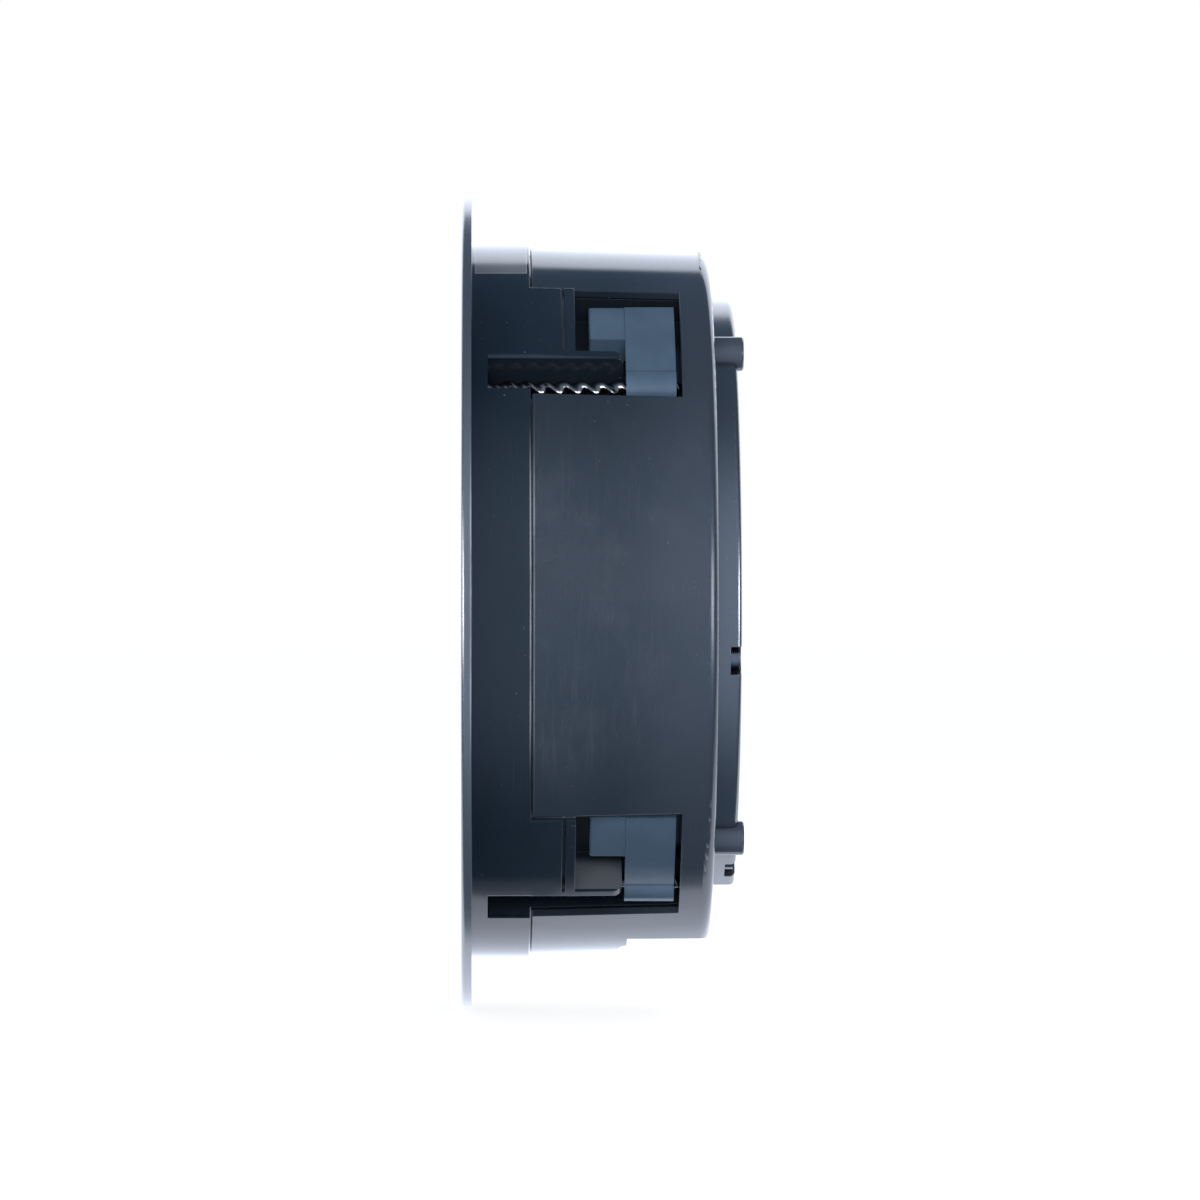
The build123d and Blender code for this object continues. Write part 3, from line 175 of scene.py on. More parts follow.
class Value:
    """A shader socket that takes part in Python arithmetic: each operator adds one Math node."""

    def __init__(self, finish, socket):
        self.finish = finish
        self.socket = socket

    def math(self, operation, *others):
        return self.finish.node("ShaderNodeMath", {"operation": operation}, [self, *others])

    def __add__(self, other):
        return self.math("ADD", other)

    def __sub__(self, other):
        return self.math("SUBTRACT", other)

    def __rsub__(self, other):
        return self.finish.node("ShaderNodeMath", {"operation": "SUBTRACT"}, [other, self])

    def __mul__(self, other):
        return self.math("MULTIPLY", other)

    def __truediv__(self, other):
        return self.math("DIVIDE", other)

    __radd__ = __add__
    __rmul__ = __mul__

    def size(self):
        """Distance from zero."""
        return self.math("ABSOLUTE")

    def step(self, low, high):
        """Smooth step from 0 at low to 1 at high."""
        sockets = {"Value": self, "From Min": low, "From Max": high}
        return self.finish.node("ShaderNodeMapRange", {"interpolation_type": "SMOOTHSTEP"}, sockets)

    def drop(self, low, high):
        """Smooth step from 1 at low to 0 at high."""
        return 1.0 - self.step(low, high)


class Finish:
    """A node tree under construction: node() adds one node, sets it up and wires it."""

    def __init__(self, tree):
        self.tree = tree
        tree.nodes.clear()

    def node(self, kind, settings=None, sockets=None, output=0):
        """Add a node: its settings first, then values or links for its sockets, by name or in order."""
        made = self.tree.nodes.new(kind)
        for name, value in (settings or {}).items():
            setattr(made, name, value)
        pairs = sockets.items() if isinstance(sockets, dict) else enumerate(sockets or [])
        for key, value in pairs:
            if isinstance(value, Value):
                self.tree.links.new(value.socket, made.inputs[key])
            else:
                made.inputs[key].default_value = value
        return Value(self, made.outputs[output]) if made.outputs else made

    def place(self, output="Object"):
        return self.node("ShaderNodeTexCoord", output=output)

    def parts(self, vector):
        """A vector's X, Y and Z as three values."""
        split = self.node("ShaderNodeSeparateXYZ", {}, [vector]).socket.node
        return tuple(Value(self, split.outputs[axis]) for axis in "XYZ")

    def axes(self):
        """Object coordinates as three values, in millimetres."""
        return tuple(part * (1 / MM) for part in self.parts(self.place()))

    def stretched(self, scale):
        """Object coordinates scaled by axis, in cycles per metre."""
        return self.node("ShaderNodeMapping", {}, {"Vector": self.place(), "Scale": scale})

    def noise(self, vector, scale, detail=2.0, roughness=0.5):
        sockets = {"Vector": vector, "Scale": scale, "Detail": detail, "Roughness": roughness}
        return self.node("ShaderNodeTexNoise", {}, sockets)

    def cloud(self, scale=CLOUD):
        """Slow drift."""
        return self.noise(self.place(), scale, 4.0)

    def pebble(self):
        """Fine mould grain."""
        return self.noise(self.place(), PEBBLE)

    def dust(self):
        """Few small specks."""
        return self.noise(self.place(), SPECKS, 1.0).step(*SPECK)

    def blend(self, factor, low, high):
        """Colour between low and high."""
        return self.node("ShaderNodeMix", {"data_type": "RGBA"}, {0: factor, 6: low, 7: high}, output=2)

    def bump(self, height, strength, distance, edge=None):
        """Normal from a height, over edges that are eased by the given radius."""
        sockets = {"Strength": strength, "Distance": distance, "Height": height}
        if edge:
            sockets["Normal"] = self.node("ShaderNodeBevel", {"samples": 4}, {"Radius": edge})
        return self.node("ShaderNodeBump", {}, sockets)


def rgba(colour, level=1.0):
    return (*(level * c for c in colour), 1.0)


def new_material(name):
    material = bpy.data.materials.new(name)
    material.use_nodes = True
    return material, Finish(material.node_tree)


def close_material(finish, sockets):
    """One principled shader with these values or links, to the material's output."""
    surface = finish.node("ShaderNodeBsdfPrincipled", {}, sockets)
    finish.node("ShaderNodeOutputMaterial", {}, {"Surface": surface})


def moulded_plastic(name, colour, roughness, edge=0.0003, grain=0.03, sheen=0.5, ior=1.5):
    """Moulded plastic: slow drift of tone and gloss, fine mould grain, specks of dust and eased edges."""
    material, finish = new_material(name)
    cloud, pebble, dust = finish.cloud(), finish.pebble(), finish.dust()
    tone = finish.blend(cloud.step(*DRIFT), rgba(colour, 0.85), rgba(colour, 1.15))
    close_material(
        finish,
        {
            "Base Color": finish.blend(dust * 0.4, tone, rgba(SPECK_TONE)),
            "Roughness": roughness + 0.07 * (cloud - 0.5) + 0.05 * (pebble - 0.5) + 0.2 * dust,
            "Specular IOR Level": sheen,
            "IOR": ior,
            "Normal": finish.bump(pebble, grain, 0.0002, edge),
        },
    )
    return material


def frame_plastic():
    """Front frame: glossy ring with faint scratches, satin flange, and a plain printed panel on top.

    Painted highlights lie pale along its rear edge and the flange's back edge at mid-height, and dust on the
    shelves in the towers also paints their upward faces lighter, as painted light.
    """
    material, finish = new_material("frame_plastic")
    x, y, z = finish.axes()
    radius = (x * x + z * z).math("SQRT")
    turn = x.math("ARCTAN2", z).size() * DEGREES
    cloud, pebble, dust = finish.cloud(), finish.pebble(), finish.dust()
    patch = finish.noise(finish.place(), 22.0).step(0.52, 0.66)
    scratch = finish.noise(finish.stretched((60.0, 2600.0, 60.0)), 1.0, 3.0).step(0.66, 0.74) * patch

    flange = y.drop(*FLANGE_BACK_Y)
    rim = flange * radius.step(*FLANGE_RIM_R)
    # Painted highlight along the flange rim's back edge, fading away from mid-height
    rim_edge_highlight = rim * y.step(*HIGHLIT_RIM_EDGE_Y) * z.size().drop(*HIGHLIT_RIM_EDGE_Z)
    on_ring = radius.step(*RING_FACE_R)
    printed = on_ring * y.step(*PRINT_FRONT_Y) * y.drop(*PRINT_REAR_Y) * turn.drop(*PRINT_TURN)
    inset = y.step(*INSET_FRONT_Y) * y.drop(*INSET_REAR_Y) * turn.drop(*INSET_TURN)
    etched, line = printed * inset, printed * (1.0 - inset)
    # Painted highlight along the ring's rear edge, fading away from mid-height
    ring_edge_highlight = radius.step(*RING_EDGE_HIGHLIGHT_R) * y.step(*RING_EDGE_HIGHLIGHT_Y) * z.size().drop(*RING_EDGE_HIGHLIGHT_Z)
    within = y.step(*WITHIN_Y) * radius.drop(*WITHIN_R)
    # Dust on the shelves' upward faces, also painted light that makes them lighter
    upward = finish.parts(finish.place("Normal"))[2].step(*SHELF_FACING)
    settled_dust_and_light = within * radius.step(*SHELF_R) * upward * (z / x).size().drop(*SHELF_SLOPE)

    ring, block, inner, satin = (
        finish.blend(cloud.step(*DRIFT), rgba(low), rgba(high))
        for low, high in (RING_TONES, BLOCK_TONES, WITHIN_TONES, RIM_TONES)
    )
    tone = finish.blend(y.step(*BLOCK_Y), ring, block)
    tone = finish.blend(etched * 0.8, tone, rgba(PRINT_TONE))
    tone = finish.blend(within, tone, inner)
    tone = finish.blend(settled_dust_and_light * 0.95, tone, rgba(SHELF_DUST_AND_LIGHT))
    tone = finish.blend(ring_edge_highlight * (0.5 + 0.5 * cloud.step(0.35, 0.6)), tone, rgba(RING_EDGE_HIGHLIGHT_TONE))
    tone = finish.blend(flange, tone, rgba(FLANGE_TONE))
    tone = finish.blend(rim, tone, satin)
    tone = finish.blend(rim_edge_highlight * (0.35 + 0.65 * cloud.step(0.4, 0.6)), tone, rgba(RIM_EDGE_HIGHLIGHT_TONE))
    tone = finish.blend(scratch * 0.25, tone, rgba(SCRATCH_TONE))
    tone = finish.blend(dust * 0.45, tone, rgba(RING_SPECK_TONE))
    rough = 0.11 + 0.26 * flange + 0.04 * etched + 0.06 * (cloud - 0.5)
    close_material(
        finish,
        {
            "Base Color": finish.blend(line * 0.75, tone, rgba(PRINT_LINE)),
            "Roughness": rough + 0.2 * scratch + 0.2 * dust,
            "Coat Weight": rim,
            "Coat Roughness": 0.2,
            "Coat IOR": 2.1,
            "Normal": finish.bump(pebble * (0.3 + flange), 0.04, 0.0002, 0.00035),
        },
    )
    return material


def can_plastic():
    """Rear can: dark plastic, dulled on its broad side panels by fine upright scuffs and smudges.

    It is paler towards the rear and on the bosses, and a pale painted highlight runs along the edge that meets
    the ring, strongest at mid-height.
    """
    material, finish = new_material("can_plastic")
    _, y, z = finish.axes()
    cloud, pebble, dust = finish.cloud(CAN_CLOUD), finish.pebble(), finish.dust()
    panel = z.size().drop(*PANEL_Z)
    streak = finish.noise(finish.stretched((90.0, 700.0, 60.0)), 1.0, 4.0, 0.6).step(0.5, 0.75)
    patch = finish.noise(finish.place(), 26.0, 3.0).step(0.42, 0.68)
    scuff = streak * patch * (0.25 + 0.75 * panel)
    smudge = finish.noise(finish.place(), 70.0, 5.0, 0.6).step(0.48, 0.72) * panel
    # Painted highlight along the can's front edge, patchy and strongest at mid-height
    can_edge_highlight = y.drop(*CAN_EDGE_Y) * (0.4 + 0.6 * patch) * (1.0 - 0.85 * z.size().step(*CAN_EDGE_Z))

    tone = finish.blend(cloud.step(*DRIFT), rgba(CAN_TONES[0]), rgba(CAN_TONES[1]))
    tone = finish.blend(y.step(*CAN_REAR_Y) * 0.6, tone, rgba(CAN_REAR_TONE))
    tone = finish.blend(y.step(*BOSS_Y) * 0.7, tone, rgba(BOSS_TONE))
    tone = finish.blend(scuff * 0.5, tone, rgba(SCUFF_TONE))
    tone = finish.blend(smudge * 0.35, tone, rgba(SMUDGE_TONE))
    tone = finish.blend(can_edge_highlight, tone, rgba(CAN_EDGE_HIGHLIGHT_TONE))
    close_material(
        finish,
        {
            "Base Color": finish.blend(dust * 0.4, tone, rgba(SPECK_TONE)),
            "Roughness": 0.10 + 0.17 * panel + 0.16 * scuff + 0.06 * (cloud - 0.5) + 0.2 * dust,
            "Specular IOR Level": 0.6,
            "Normal": finish.bump(pebble + 0.5 * streak * panel, 0.035, 0.0002, 0.00035),
        },
    )
    return material


def plated_metal(name, colour, roughness, streaks=(300.0, 4000.0, 300.0)):
    """Plated metal: fine drawn streaks in tone and roughness, and eased edges."""
    material, finish = new_material(name)
    streak = finish.noise(finish.stretched(streaks), 1.0, 3.0)
    stain = finish.noise(finish.place(), 260.0, 3.0)
    close_material(
        finish,
        {
            "Base Color": finish.blend(streak.step(*DRIFT), rgba(colour, 0.78), rgba(colour)),
            "Metallic": 1.0,
            "Roughness": roughness + 0.16 * (streak - 0.5) + 0.10 * (stain - 0.5),
            "Normal": finish.bump(streak, 0.05, 0.0001, 0.00015),
        },
    )
    return material


def black_coating(name, colour, roughness):
    """Powder coat or black oxide over steel: a fine orange-peel of its own."""
    material, finish = new_material(name)
    peel = finish.noise(finish.place(), 2600.0, 3.0)
    cloud = finish.noise(finish.place(), 60.0, 3.0)
    close_material(
        finish,
        {
            "Base Color": finish.blend(cloud.step(*DRIFT), rgba(colour, 0.85), rgba(colour, 1.2)),
            "Roughness": roughness + 0.1 * (peel - 0.5),
            "Normal": finish.bump(peel, 0.12, 0.0002),
        },
    )
    return material


def woven_cloth(name, colour, pitch, roughness):
    """Open woven cloth across the Y axis: threads as two sets of rounded ridges that cross each other."""
    material, finish = new_material(name)
    x, _, z = finish.axes()
    warp = (x * (2 * math.pi / pitch)).math("SINE").size()
    weft = (z * (2 * math.pi / pitch)).math("SINE").size()
    thread = warp.math("MAXIMUM", weft)
    fibre = finish.noise(finish.place(), 6000.0)
    close_material(
        finish,
        {
            "Base Color": finish.blend(thread * (0.6 + 0.6 * fibre), rgba(colour, 0.25), rgba(colour, 1.3)),
            "Roughness": roughness + 0.1 * (fibre - 0.5),
            "Normal": finish.bump(thread + 0.3 * fibre, 0.5, 0.0002),
        },
    )
    return material


def pressed_pulp(name, colour, roughness):
    """Pressed paper pulp: short fibres lying every way, and faint rings from the press about the Y axis."""
    material, finish = new_material(name)
    x, _, z = finish.axes()
    ring = ((x * x + z * z).math("SQRT") * 5.0).math("SINE")
    fibre = finish.noise(finish.place(), 1500.0, 5.0, 0.65)
    close_material(
        finish,
        {
            "Base Color": finish.blend(fibre.step(*DRIFT), rgba(colour, 0.7), rgba(colour, 1.4)),
            "Roughness": roughness + 0.15 * (fibre - 0.5),
            "Normal": finish.bump(fibre + 0.12 * ring, 0.25, 0.0003),
        },
    )
    return material


def circuit_board():
    """Glass-epoxy board: solder resist over a faint weave, with paler copper tracks under it."""
    material, finish = new_material("circuit_board")
    x, _, z = finish.axes()
    weave = (x * 9.0).math("SINE") * (z * 9.0).math("SINE")
    track = finish.noise(finish.stretched((180.0, 180.0, 420.0)), 1.0, 0.0).step(0.49, 0.51)
    close_material(
        finish,
        {
            "Base Color": finish.blend(track, rgba((0.012, 0.05, 0.022)), rgba((0.03, 0.11, 0.045))),
            "Roughness": 0.34 + 0.06 * weave,
            "Normal": finish.bump(weave + track, 0.06, 0.0001),
        },
    )
    return material


FINISHES = {
    "frame_plastic": frame_plastic(),
    "can_plastic": can_plastic(),
    "cover_plastic": moulded_plastic("cover_plastic", (0.032, 0.036, 0.048), 0.20, sheen=1.0, ior=1.8),
    "clamp_plastic": moulded_plastic("clamp_plastic", (0.118, 0.188, 0.282), 0.17, edge=0.00022, grain=0.05),
    "zinc_screw": plated_metal("zinc_screw", (0.21, 0.195, 0.185), 0.16),
    "black_screw": plated_metal("black_screw", (0.20, 0.20, 0.215), 0.22),
    "grille_steel": black_coating("grille_steel", (0.020, 0.021, 0.024), 0.46),
    "scrim_cloth": woven_cloth("scrim_cloth", (0.012, 0.012, 0.013), 0.5, 0.85),
    "grille_magnet": plated_metal("grille_magnet", (0.66, 0.65, 0.62), 0.25),
    "foam_gasket": pressed_pulp("foam_gasket", (0.02, 0.02, 0.021), 0.9),
    "basket_steel": black_coating("basket_steel", (0.022, 0.023, 0.026), 0.42),
    "cone_paper": pressed_pulp("cone_paper", (0.026, 0.026, 0.028), 0.75),
    "surround_rubber": black_coating("surround_rubber", (0.013, 0.013, 0.014), 0.5),
    "spider_cloth": woven_cloth("spider_cloth", (0.42, 0.27, 0.10), 0.9, 0.85),
    "coil_copper": plated_metal("coil_copper", (0.72, 0.36, 0.19), 0.3, (300.0, 9000.0, 300.0)),
    "plated_steel": plated_metal("plated_steel", (0.62, 0.62, 0.6), 0.28),
    "ferrite": black_coating("ferrite", (0.035, 0.035, 0.037), 0.62),
    "tweeter_plastic": moulded_plastic("tweeter_plastic", (0.014, 0.0145, 0.016), 0.36),
    "dome_silk": woven_cloth("dome_silk", (0.022, 0.022, 0.024), 0.35, 0.6),
    "circuit_board": circuit_board(),
    "capacitor_sleeve": moulded_plastic("capacitor_sleeve", (0.05, 0.09, 0.22), 0.3),
    "resistor_ceramic": pressed_pulp("resistor_ceramic", (0.55, 0.53, 0.48), 0.8),
    "terminal_plastic": moulded_plastic("terminal_plastic", (0.014, 0.015, 0.017), 0.4),
    "lever_red": moulded_plastic("lever_red", (0.45, 0.012, 0.014), 0.34, edge=0.0002),
    "lever_black": moulded_plastic("lever_black", (0.013, 0.013, 0.014), 0.34, edge=0.0002),
    "contact_brass": plated_metal("contact_brass", (0.78, 0.6, 0.28), 0.25),
}


def put_piece(name, points, faces, body, slot, node, smooth=True):
    """New piece from points in millimetres: it rides a body, if any, in a slot's finish, for a CAD node."""
    mesh = bpy.data.meshes.new(name)
    mesh.from_pydata((points.reshape(-1, 3) * MM).tolist(), [], faces)
    mesh.polygons.foreach_set("use_smooth", np.full(len(mesh.polygons), smooth))
    mesh.materials.append(FINISHES[slot])
    mesh.update()
    piece = bpy.data.objects.new(name, mesh)
    bpy.context.scene.collection.objects.link(piece)
    if body:
        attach(piece, body)
    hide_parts(node)
    return piece


def turned_faces(rows, around, capped):
    """Quads between rows of points round the Y axis; then a cap on both end rows, or a last strip."""
    index = np.arange(rows * around).reshape(rows, around)
    if not capped:
        index = np.vstack([index, index[:1]])
    after = np.roll(index, -1, axis=1)
    quads = np.stack([index[:-1], after[:-1], after[1:], index[1:]], axis=-1).reshape(-1, 4).tolist()
    return quads + ([index[0, ::-1].tolist(), index[-1].tolist()] if capped else [])


def cross_bar(across, along):
    """One bar of a driver cross: 1 inside its width and length, smoothly down to 0 outside."""
    inside = np.clip((CROSS_HALF_W - np.abs(across)) / CROSS_SIDE_EASE + 0.5, 0, 1)
    return inside * np.clip((CROSS_HALF_L - np.abs(along)) / CROSS_END_EASE, 0, 1)


def clamp_screw(place):
    """Coarse two-start screw, a turned shape about its own axis along Y.

    The thread takes from the radius root depth times a raised cosine of starts * (along / lead - turn), so
    its ridges climb to the right. The head's face sinks by a cross, the higher of two smooth bars, for the
    driver.
    """
    face_r = np.array(HEAD_FACE_RINGS)
    head = [
        [SCREW_HEAD_R, SCREW_HEAD_FRONT + HEAD_FRONT_EASE],
        [SCREW_HEAD_R, SCREW_HEAD_BACK - HEAD_BACK_EASE],
        [HEAD_BACK_R, SCREW_HEAD_BACK],
    ]
    shank = [[SHANK_R, SCREW_HEAD_BACK + SHANK_START], [SHANK_R, THREAD_FRONT - SHANK_STOP]]
    depth = np.arange(THREAD_FRONT, THREAD_END, THREAD_STEP)
    tip = [[THREAD_END_R, THREAD_END], [SCREW_TIP_R, SCREW_END - SCREW_END_EASE], [SCREW_END_R, SCREW_END]]
    face = np.stack([face_r, np.full(face_r.size, SCREW_HEAD_FRONT)], axis=1)
    face[-1, 1] += HEAD_FACE_DROP
    thread = np.stack([np.full(depth.size, SCREW_R), depth], axis=1)
    profile = np.vstack([face, head, shank, thread, tip])
    radius, along = profile[:, :1], profile[:, 1:]
    turn = np.linspace(0, 2 * np.pi, SCREW_AROUND, endpoint=False)[None, :]

    phase = 2 * np.pi * THREAD_STARTS * (along / THREAD_LEAD - turn / (2 * np.pi))
    groove = ((1 - np.cos(phase)) / 2) ** THREAD_SHARPNESS
    run_in = np.clip((along - THREAD_FRONT) / THREAD_RUN_IN, 0, 1)
    entry = run_in * np.clip((THREAD_END - along) / THREAD_RUN_OUT, 0, 1)
    threaded = (along >= THREAD_FRONT) & (along < THREAD_END)
    taper = np.where(threaded, SCREW_R - (SCREW_R - SCREW_ROOT_R) * (1 - entry * (1 - groove)), radius)

    across, up = taper * np.sin(turn), taper * np.cos(turn)
    sunk = np.maximum(cross_bar(across, up), cross_bar(up, across))
    sunk[face_r.size :] = 0
    level = along + CROSS_DEPTH * sunk

    angle = math.radians(TOWER_ANGLES[place])
    middle_x = SCREW_OUT * math.cos(angle) - SCREW_ALONG * math.sin(angle)
    middle_z = SCREW_OUT * math.sin(angle) + SCREW_ALONG * math.cos(angle)
    points = np.stack([middle_x + across, level, middle_z + up], axis=-1)
    faces = turned_faces(*across.shape, capped=True)
    node = f"clamp_screw_{place}"
    put_piece(f"threaded_screw_{place}", points, faces, f"screw_{place}", "zinc_screw", node)


def surround():
    """Half-roll surround between the basket's rim and the cone.

    A middle line of landing, half circle, leg and lap is given thickness along its normals and turned about Y.
    """
    arc = np.linspace(0, np.pi, ROLL_POINTS)
    roll = np.stack([ROLL_RING_R + ROLL_R * np.cos(arc), ROLL_DEPTH - ROLL_R * np.sin(arc)], axis=1)
    leg_depth = np.linspace(ROLL_DEPTH + LEG_START, LAP_DEPTH - LEG_STOP, LEG_POINTS)
    leg = np.stack([np.full(LEG_POINTS, ROLL_RING_R - ROLL_R), leg_depth], axis=1)
    landing = [
        [SURROUND_R, SURROUND_DEPTH],
        [LANDING_R, SURROUND_DEPTH],
        [LANDING_END_R, SURROUND_DEPTH - LANDING_END_RISE],
    ]
    lap = [[LAP_FOOT_R, LAP_DEPTH], [LAP_MIDDLE_R, LAP_DEPTH], [LAP_R, LAP_DEPTH]]
    line = np.vstack([landing, roll, leg, lap])
    slope = np.gradient(line, axis=0)
    slope /= np.linalg.norm(slope, axis=1, keepdims=True)
    normal = np.stack([slope[:, 1], -slope[:, 0]], axis=1)
    ring = np.vstack([line + normal * SURROUND_T / 2, (line - normal * SURROUND_T / 2)[::-1]])
    turn = np.linspace(0, 2 * np.pi, SURROUND_AROUND, endpoint=False)[None, :]
    radius, depth = ring[:, :1], np.repeat(ring[:, 1:], SURROUND_AROUND, axis=1)
    points = np.stack([radius * np.sin(turn), depth, radius * np.cos(turn)], axis=-1)
    faces = turned_faces(len(ring), SURROUND_AROUND, False)
    piece = put_piece("roll_surround", points, faces, None, "surround_rubber", "surround")
    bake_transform(piece)


def grille():
    """Pierced steel grille: a sheet of six-sided cells, each with a hole, and a plain rim that curls back.

    Cell corners lie on a hexagonal net. Corners beyond the pierced radius move in to it along their own
    radius, cells that reach it keep no hole, and the rim's rings carry that round edge on to the curl.
    """
    steps = int(GRILLE_R / HOLE_PITCH) + 3
    column, row = np.meshgrid(np.arange(-steps, steps + 1), np.arange(-steps - 6, steps + 7))
    middle = np.stack([(column + (row % 2) / 2) * HOLE_PITCH, row * HOLE_PITCH * math.sqrt(3) / 2], axis=-1)
    middle = middle.reshape(-1, 2)
    corner_turn = np.radians(30 + 60 * np.arange(6))
    spoke = np.stack([np.cos(corner_turn), np.sin(corner_turn)], axis=-1)
    corner = middle[:, None] + spoke * HOLE_PITCH / math.sqrt(3)
    reach = np.linalg.norm(corner, axis=2)
    kept = reach.min(axis=1) < PIERCED_R
    middle, corner, reach = middle[kept], corner[kept], reach[kept]
    pierced = reach.max(axis=1) < PIERCED_R - PIERCED_MARGIN

    # Corners shared by neighbouring cells become one point
    flat = corner.reshape(-1, 2)
    shared, where = np.unique(np.round(flat / SAME_POINT).astype(int), axis=0, return_inverse=True)
    cell = where.reshape(-1, 6)
    net = np.zeros((len(shared), 2))
    net[cell.reshape(-1)] = flat
    distance = np.linalg.norm(net, axis=1, keepdims=True)
    net = net * np.minimum(1.0, PIERCED_R / distance)

    hole = middle[pierced][:, None] + spoke * HOLE_R
    inner = len(net) + np.arange(hole.shape[0] * 6).reshape(-1, 6)
    outer = cell[pierced]
    webs = np.stack([outer, np.roll(outer, -1, 1), np.roll(inner, -1, 1), inner], axis=-1).reshape(-1, 4)
    faces = webs.tolist() + cell[~pierced].tolist()

    # The rim starts from the net's outermost points, taken in order round the axis
    edge = np.flatnonzero(distance[:, 0] >= PIERCED_R)
    edge = edge[np.argsort(np.arctan2(net[edge, 1], net[edge, 0]))]
    bearing = np.arctan2(net[edge, 1], net[edge, 0])
    curl = np.radians(np.array(CURL_DEGREES))
    ring_r = np.append(GRILLE_R - GRILLE_ROUND + GRILLE_ROUND * np.sin(curl), GRILLE_R)[:, None]
    ring_y = np.append(GRILLE_FRONT + GRILLE_ROUND * (1 - np.cos(curl)), GRILLE_BACK)[:, None]
    rim_y = np.repeat(ring_y, edge.size, axis=1)
    rim = np.stack([ring_r * np.cos(bearing), rim_y, ring_r * np.sin(bearing)], axis=-1)
    rim_index = len(net) + hole.shape[0] * 6 + np.arange(rim_y.size).reshape(rim_y.shape)
    rows = np.vstack([edge, rim_index])
    after = np.roll(rows, -1, axis=1)
    faces += np.stack([rows[:-1], rows[1:], after[1:], after[:-1]], axis=-1).reshape(-1, 4).tolist()

    sheet = np.vstack([net, hole.reshape(-1, 2)])
    sheet = np.stack([sheet[:, 0], np.full(len(sheet), GRILLE_FRONT), sheet[:, 1]], axis=-1)
    points = np.vstack([sheet, rim.reshape(-1, 3)])
    piece = put_piece("pierced_grille", points, faces, "grille", "grille_steel", "grille", False)
    wall = piece.modifiers.new("sheet", "SOLIDIFY")
    wall.thickness = GRILLE_SHEET * MM
    wall.offset = -1.0


def studio():
    """Studio: white backdrop to the camera; in gloss, a white sweep behind and below, a pale wall in front
    and two bright strips beside it, which draw thin lines along the edges."""
    world = bpy.data.worlds.new("studio")
    bpy.context.scene.world = world
    world.use_nodes = True
    sky = Finish(world.node_tree)
    side, across, height = sky.parts(sky.place("Generated"))
    turn = height.math("ARCTAN2", side) * DEGREES
    reach = across.size()

    above = turn.step(*ABOVE_TURN)
    below = 1.0 - 0.8 * turn.step(*BELOW_TURN) - 0.2 * turn.step(*DUSK_TURN)
    sweep = (above + below) * reach.drop(*SWEEP_ACROSS)
    wall = turn.size().drop(*WALL_TURN) * reach.drop(*WALL_ACROSS)
    strips = reach.step(*STRIP_NEAR) * reach.drop(*STRIP_FAR) * side.step(*STRIP_SIDE)
    strips = strips * height.size().drop(*STRIP_HEIGHT)

    room = sky.blend(wall, rgba(ROOM_TONE), rgba(WALL_TONE))
    under = sky.blend(turn.step(*BELOW_FADE_TURN), rgba(BELOW_TONES[0]), rgba(BELOW_TONES[1]))
    room = sky.blend(sweep, room, sky.blend(above, under, rgba(ABOVE_TONE)))
    room = sky.blend(strips, room, rgba(STRIP_TONE))

    in_view = sky.node("ShaderNodeLightPath", output="Is Camera Ray")
    in_gloss = sky.node("ShaderNodeLightPath", output="Is Glossy Ray")
    fill = sky.node("ShaderNodeBackground", {}, [rgba(FILL_TONE), 1.0])
    gloss = sky.node("ShaderNodeBackground", {}, [room, 1.0])
    backdrop = sky.node("ShaderNodeBackground", {}, [rgba(WHITE), 1.0])
    lit = sky.node("ShaderNodeMixShader", {}, [in_gloss, fill, gloss])
    surface = sky.node("ShaderNodeMixShader", {}, [in_view, lit, backdrop])
    sky.node("ShaderNodeOutputWorld", {}, {"Surface": surface})


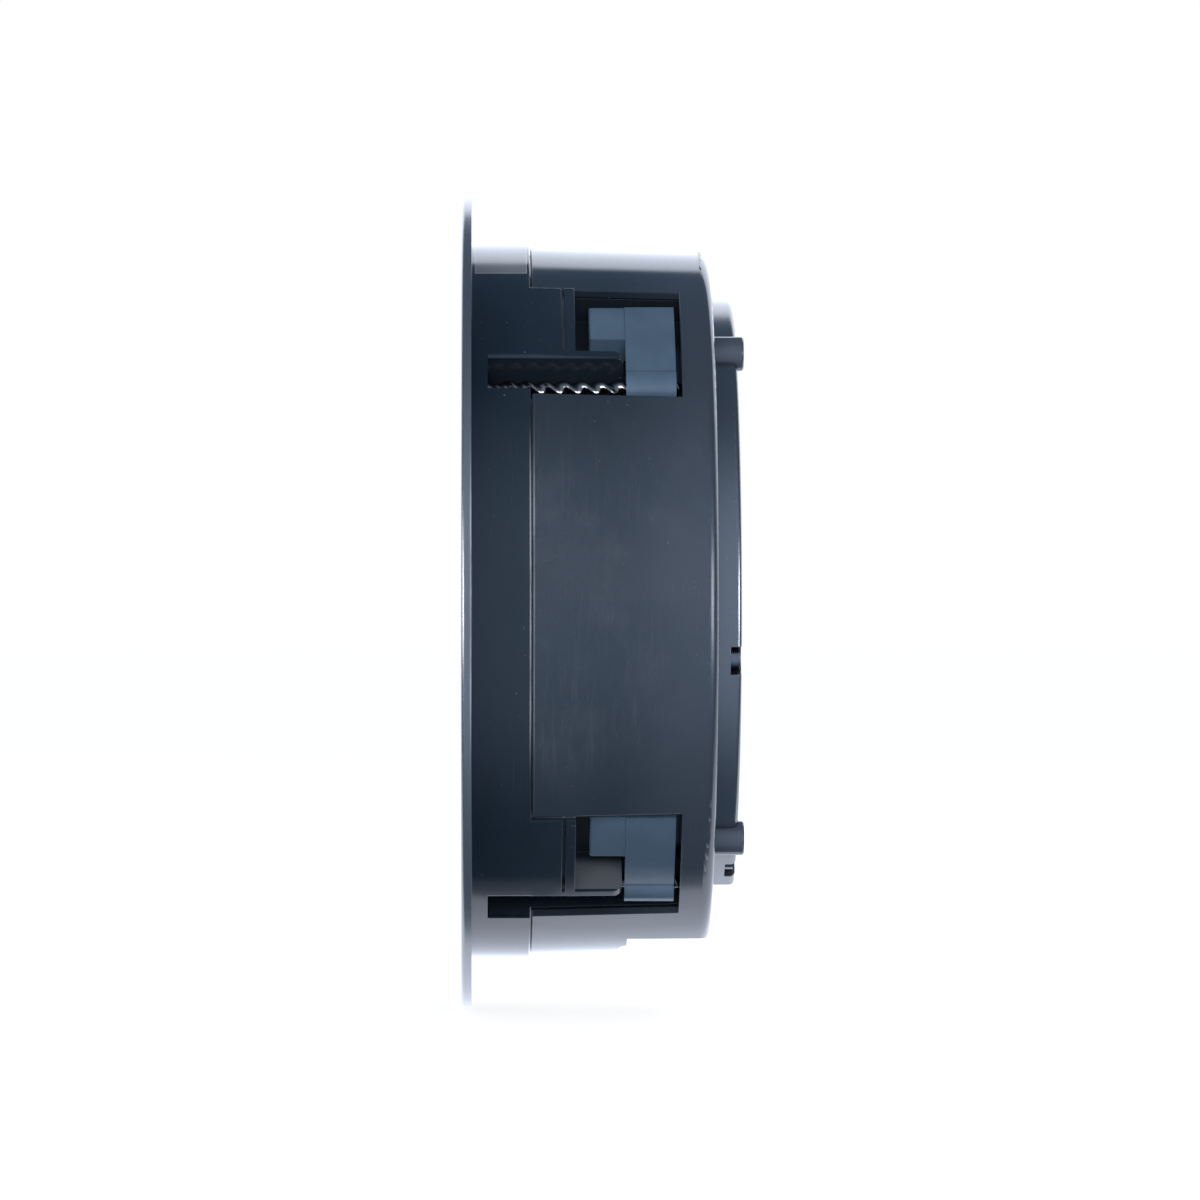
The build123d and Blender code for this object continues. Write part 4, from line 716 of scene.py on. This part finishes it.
def soft_box(name, place, width, height, power, in_gloss):
    """Upright soft box at a place, turned to the speaker's middle."""
    light = bpy.data.lights.new(name, "AREA")
    light.shape = "RECTANGLE"
    light.size, light.size_y = width, height
    light.energy = power
    box = bpy.data.objects.new(name, light)
    bpy.context.scene.collection.objects.link(box)
    box.location = place
    box.rotation_euler = (-box.location).to_track_quat("-Z", "Y").to_euler()
    box.visible_glossy = in_gloss


def camera():
    """Camera square to the speaker's side, its lens shifted so that the flange sits left of the middle."""
    lens = bpy.data.cameras.new("photo_camera")
    lens.sensor_width = SENSOR
    lens.lens = SENSOR * CAMERA_DISTANCE / (PHOTO_PIXELS * MM_PER_PIXEL * MM)
    lens.shift_x = (PHOTO_PIXELS / 2 - FLANGE_PIXEL) / PHOTO_PIXELS
    lens.clip_end = CAMERA_REACH
    view = bpy.data.objects.new("photo_camera", lens)
    bpy.context.scene.collection.objects.link(view)
    view.location = (CAMERA_DISTANCE, 0.0, 0.0)
    view.rotation_euler = (math.radians(90), 0.0, math.radians(90))
    bpy.context.scene.camera = view


def floor():
    """Pale floor under the flange's rim: white to the camera, but for the speaker's own soft shadow."""
    level = cad_low.z - FLOOR_GAP
    corners = [(x * FLOOR_SIZE, y * FLOOR_SIZE, level) for x, y in ((-1, -1), (1, -1), (1, 1), (-1, 1))]
    mesh = bpy.data.meshes.new("floor")
    mesh.from_pydata(corners, [], [(0, 1, 2, 3)])
    plane = bpy.data.objects.new("floor", mesh)
    bpy.context.scene.collection.objects.link(plane)
    material, finish = new_material("floor")
    seen = finish.node("ShaderNodeLightPath", output="Is Camera Ray")
    matt = finish.node("ShaderNodeBsdfDiffuse", {}, [rgba(WHITE, FLOOR_TONE)])
    glow = finish.blend(seen, rgba(BLACK), rgba(WHITE, FLOOR_GLOW))
    white = finish.node("ShaderNodeEmission", {}, [glow, 1.0])
    surface = finish.node("ShaderNodeAddShader", {}, [matt, white])
    finish.node("ShaderNodeOutputMaterial", {}, {"Surface": surface})
    mesh.materials.append(material)
    plane.visible_glossy = False


bpy.context.scene.view_settings.view_transform = "Standard"
for part in frame["record"]["subparts"]:
    materials = frame["nodes"][part["node"]].data.materials
    materials.clear()
    materials.append(FINISHES[part["material_slot"]])

for place in TOWER_ANGLES:
    clamp_screw(place)
surround()
grille()

studio()
for box in SOFT_BOXES:
    soft_box(*box)
camera()
floor()
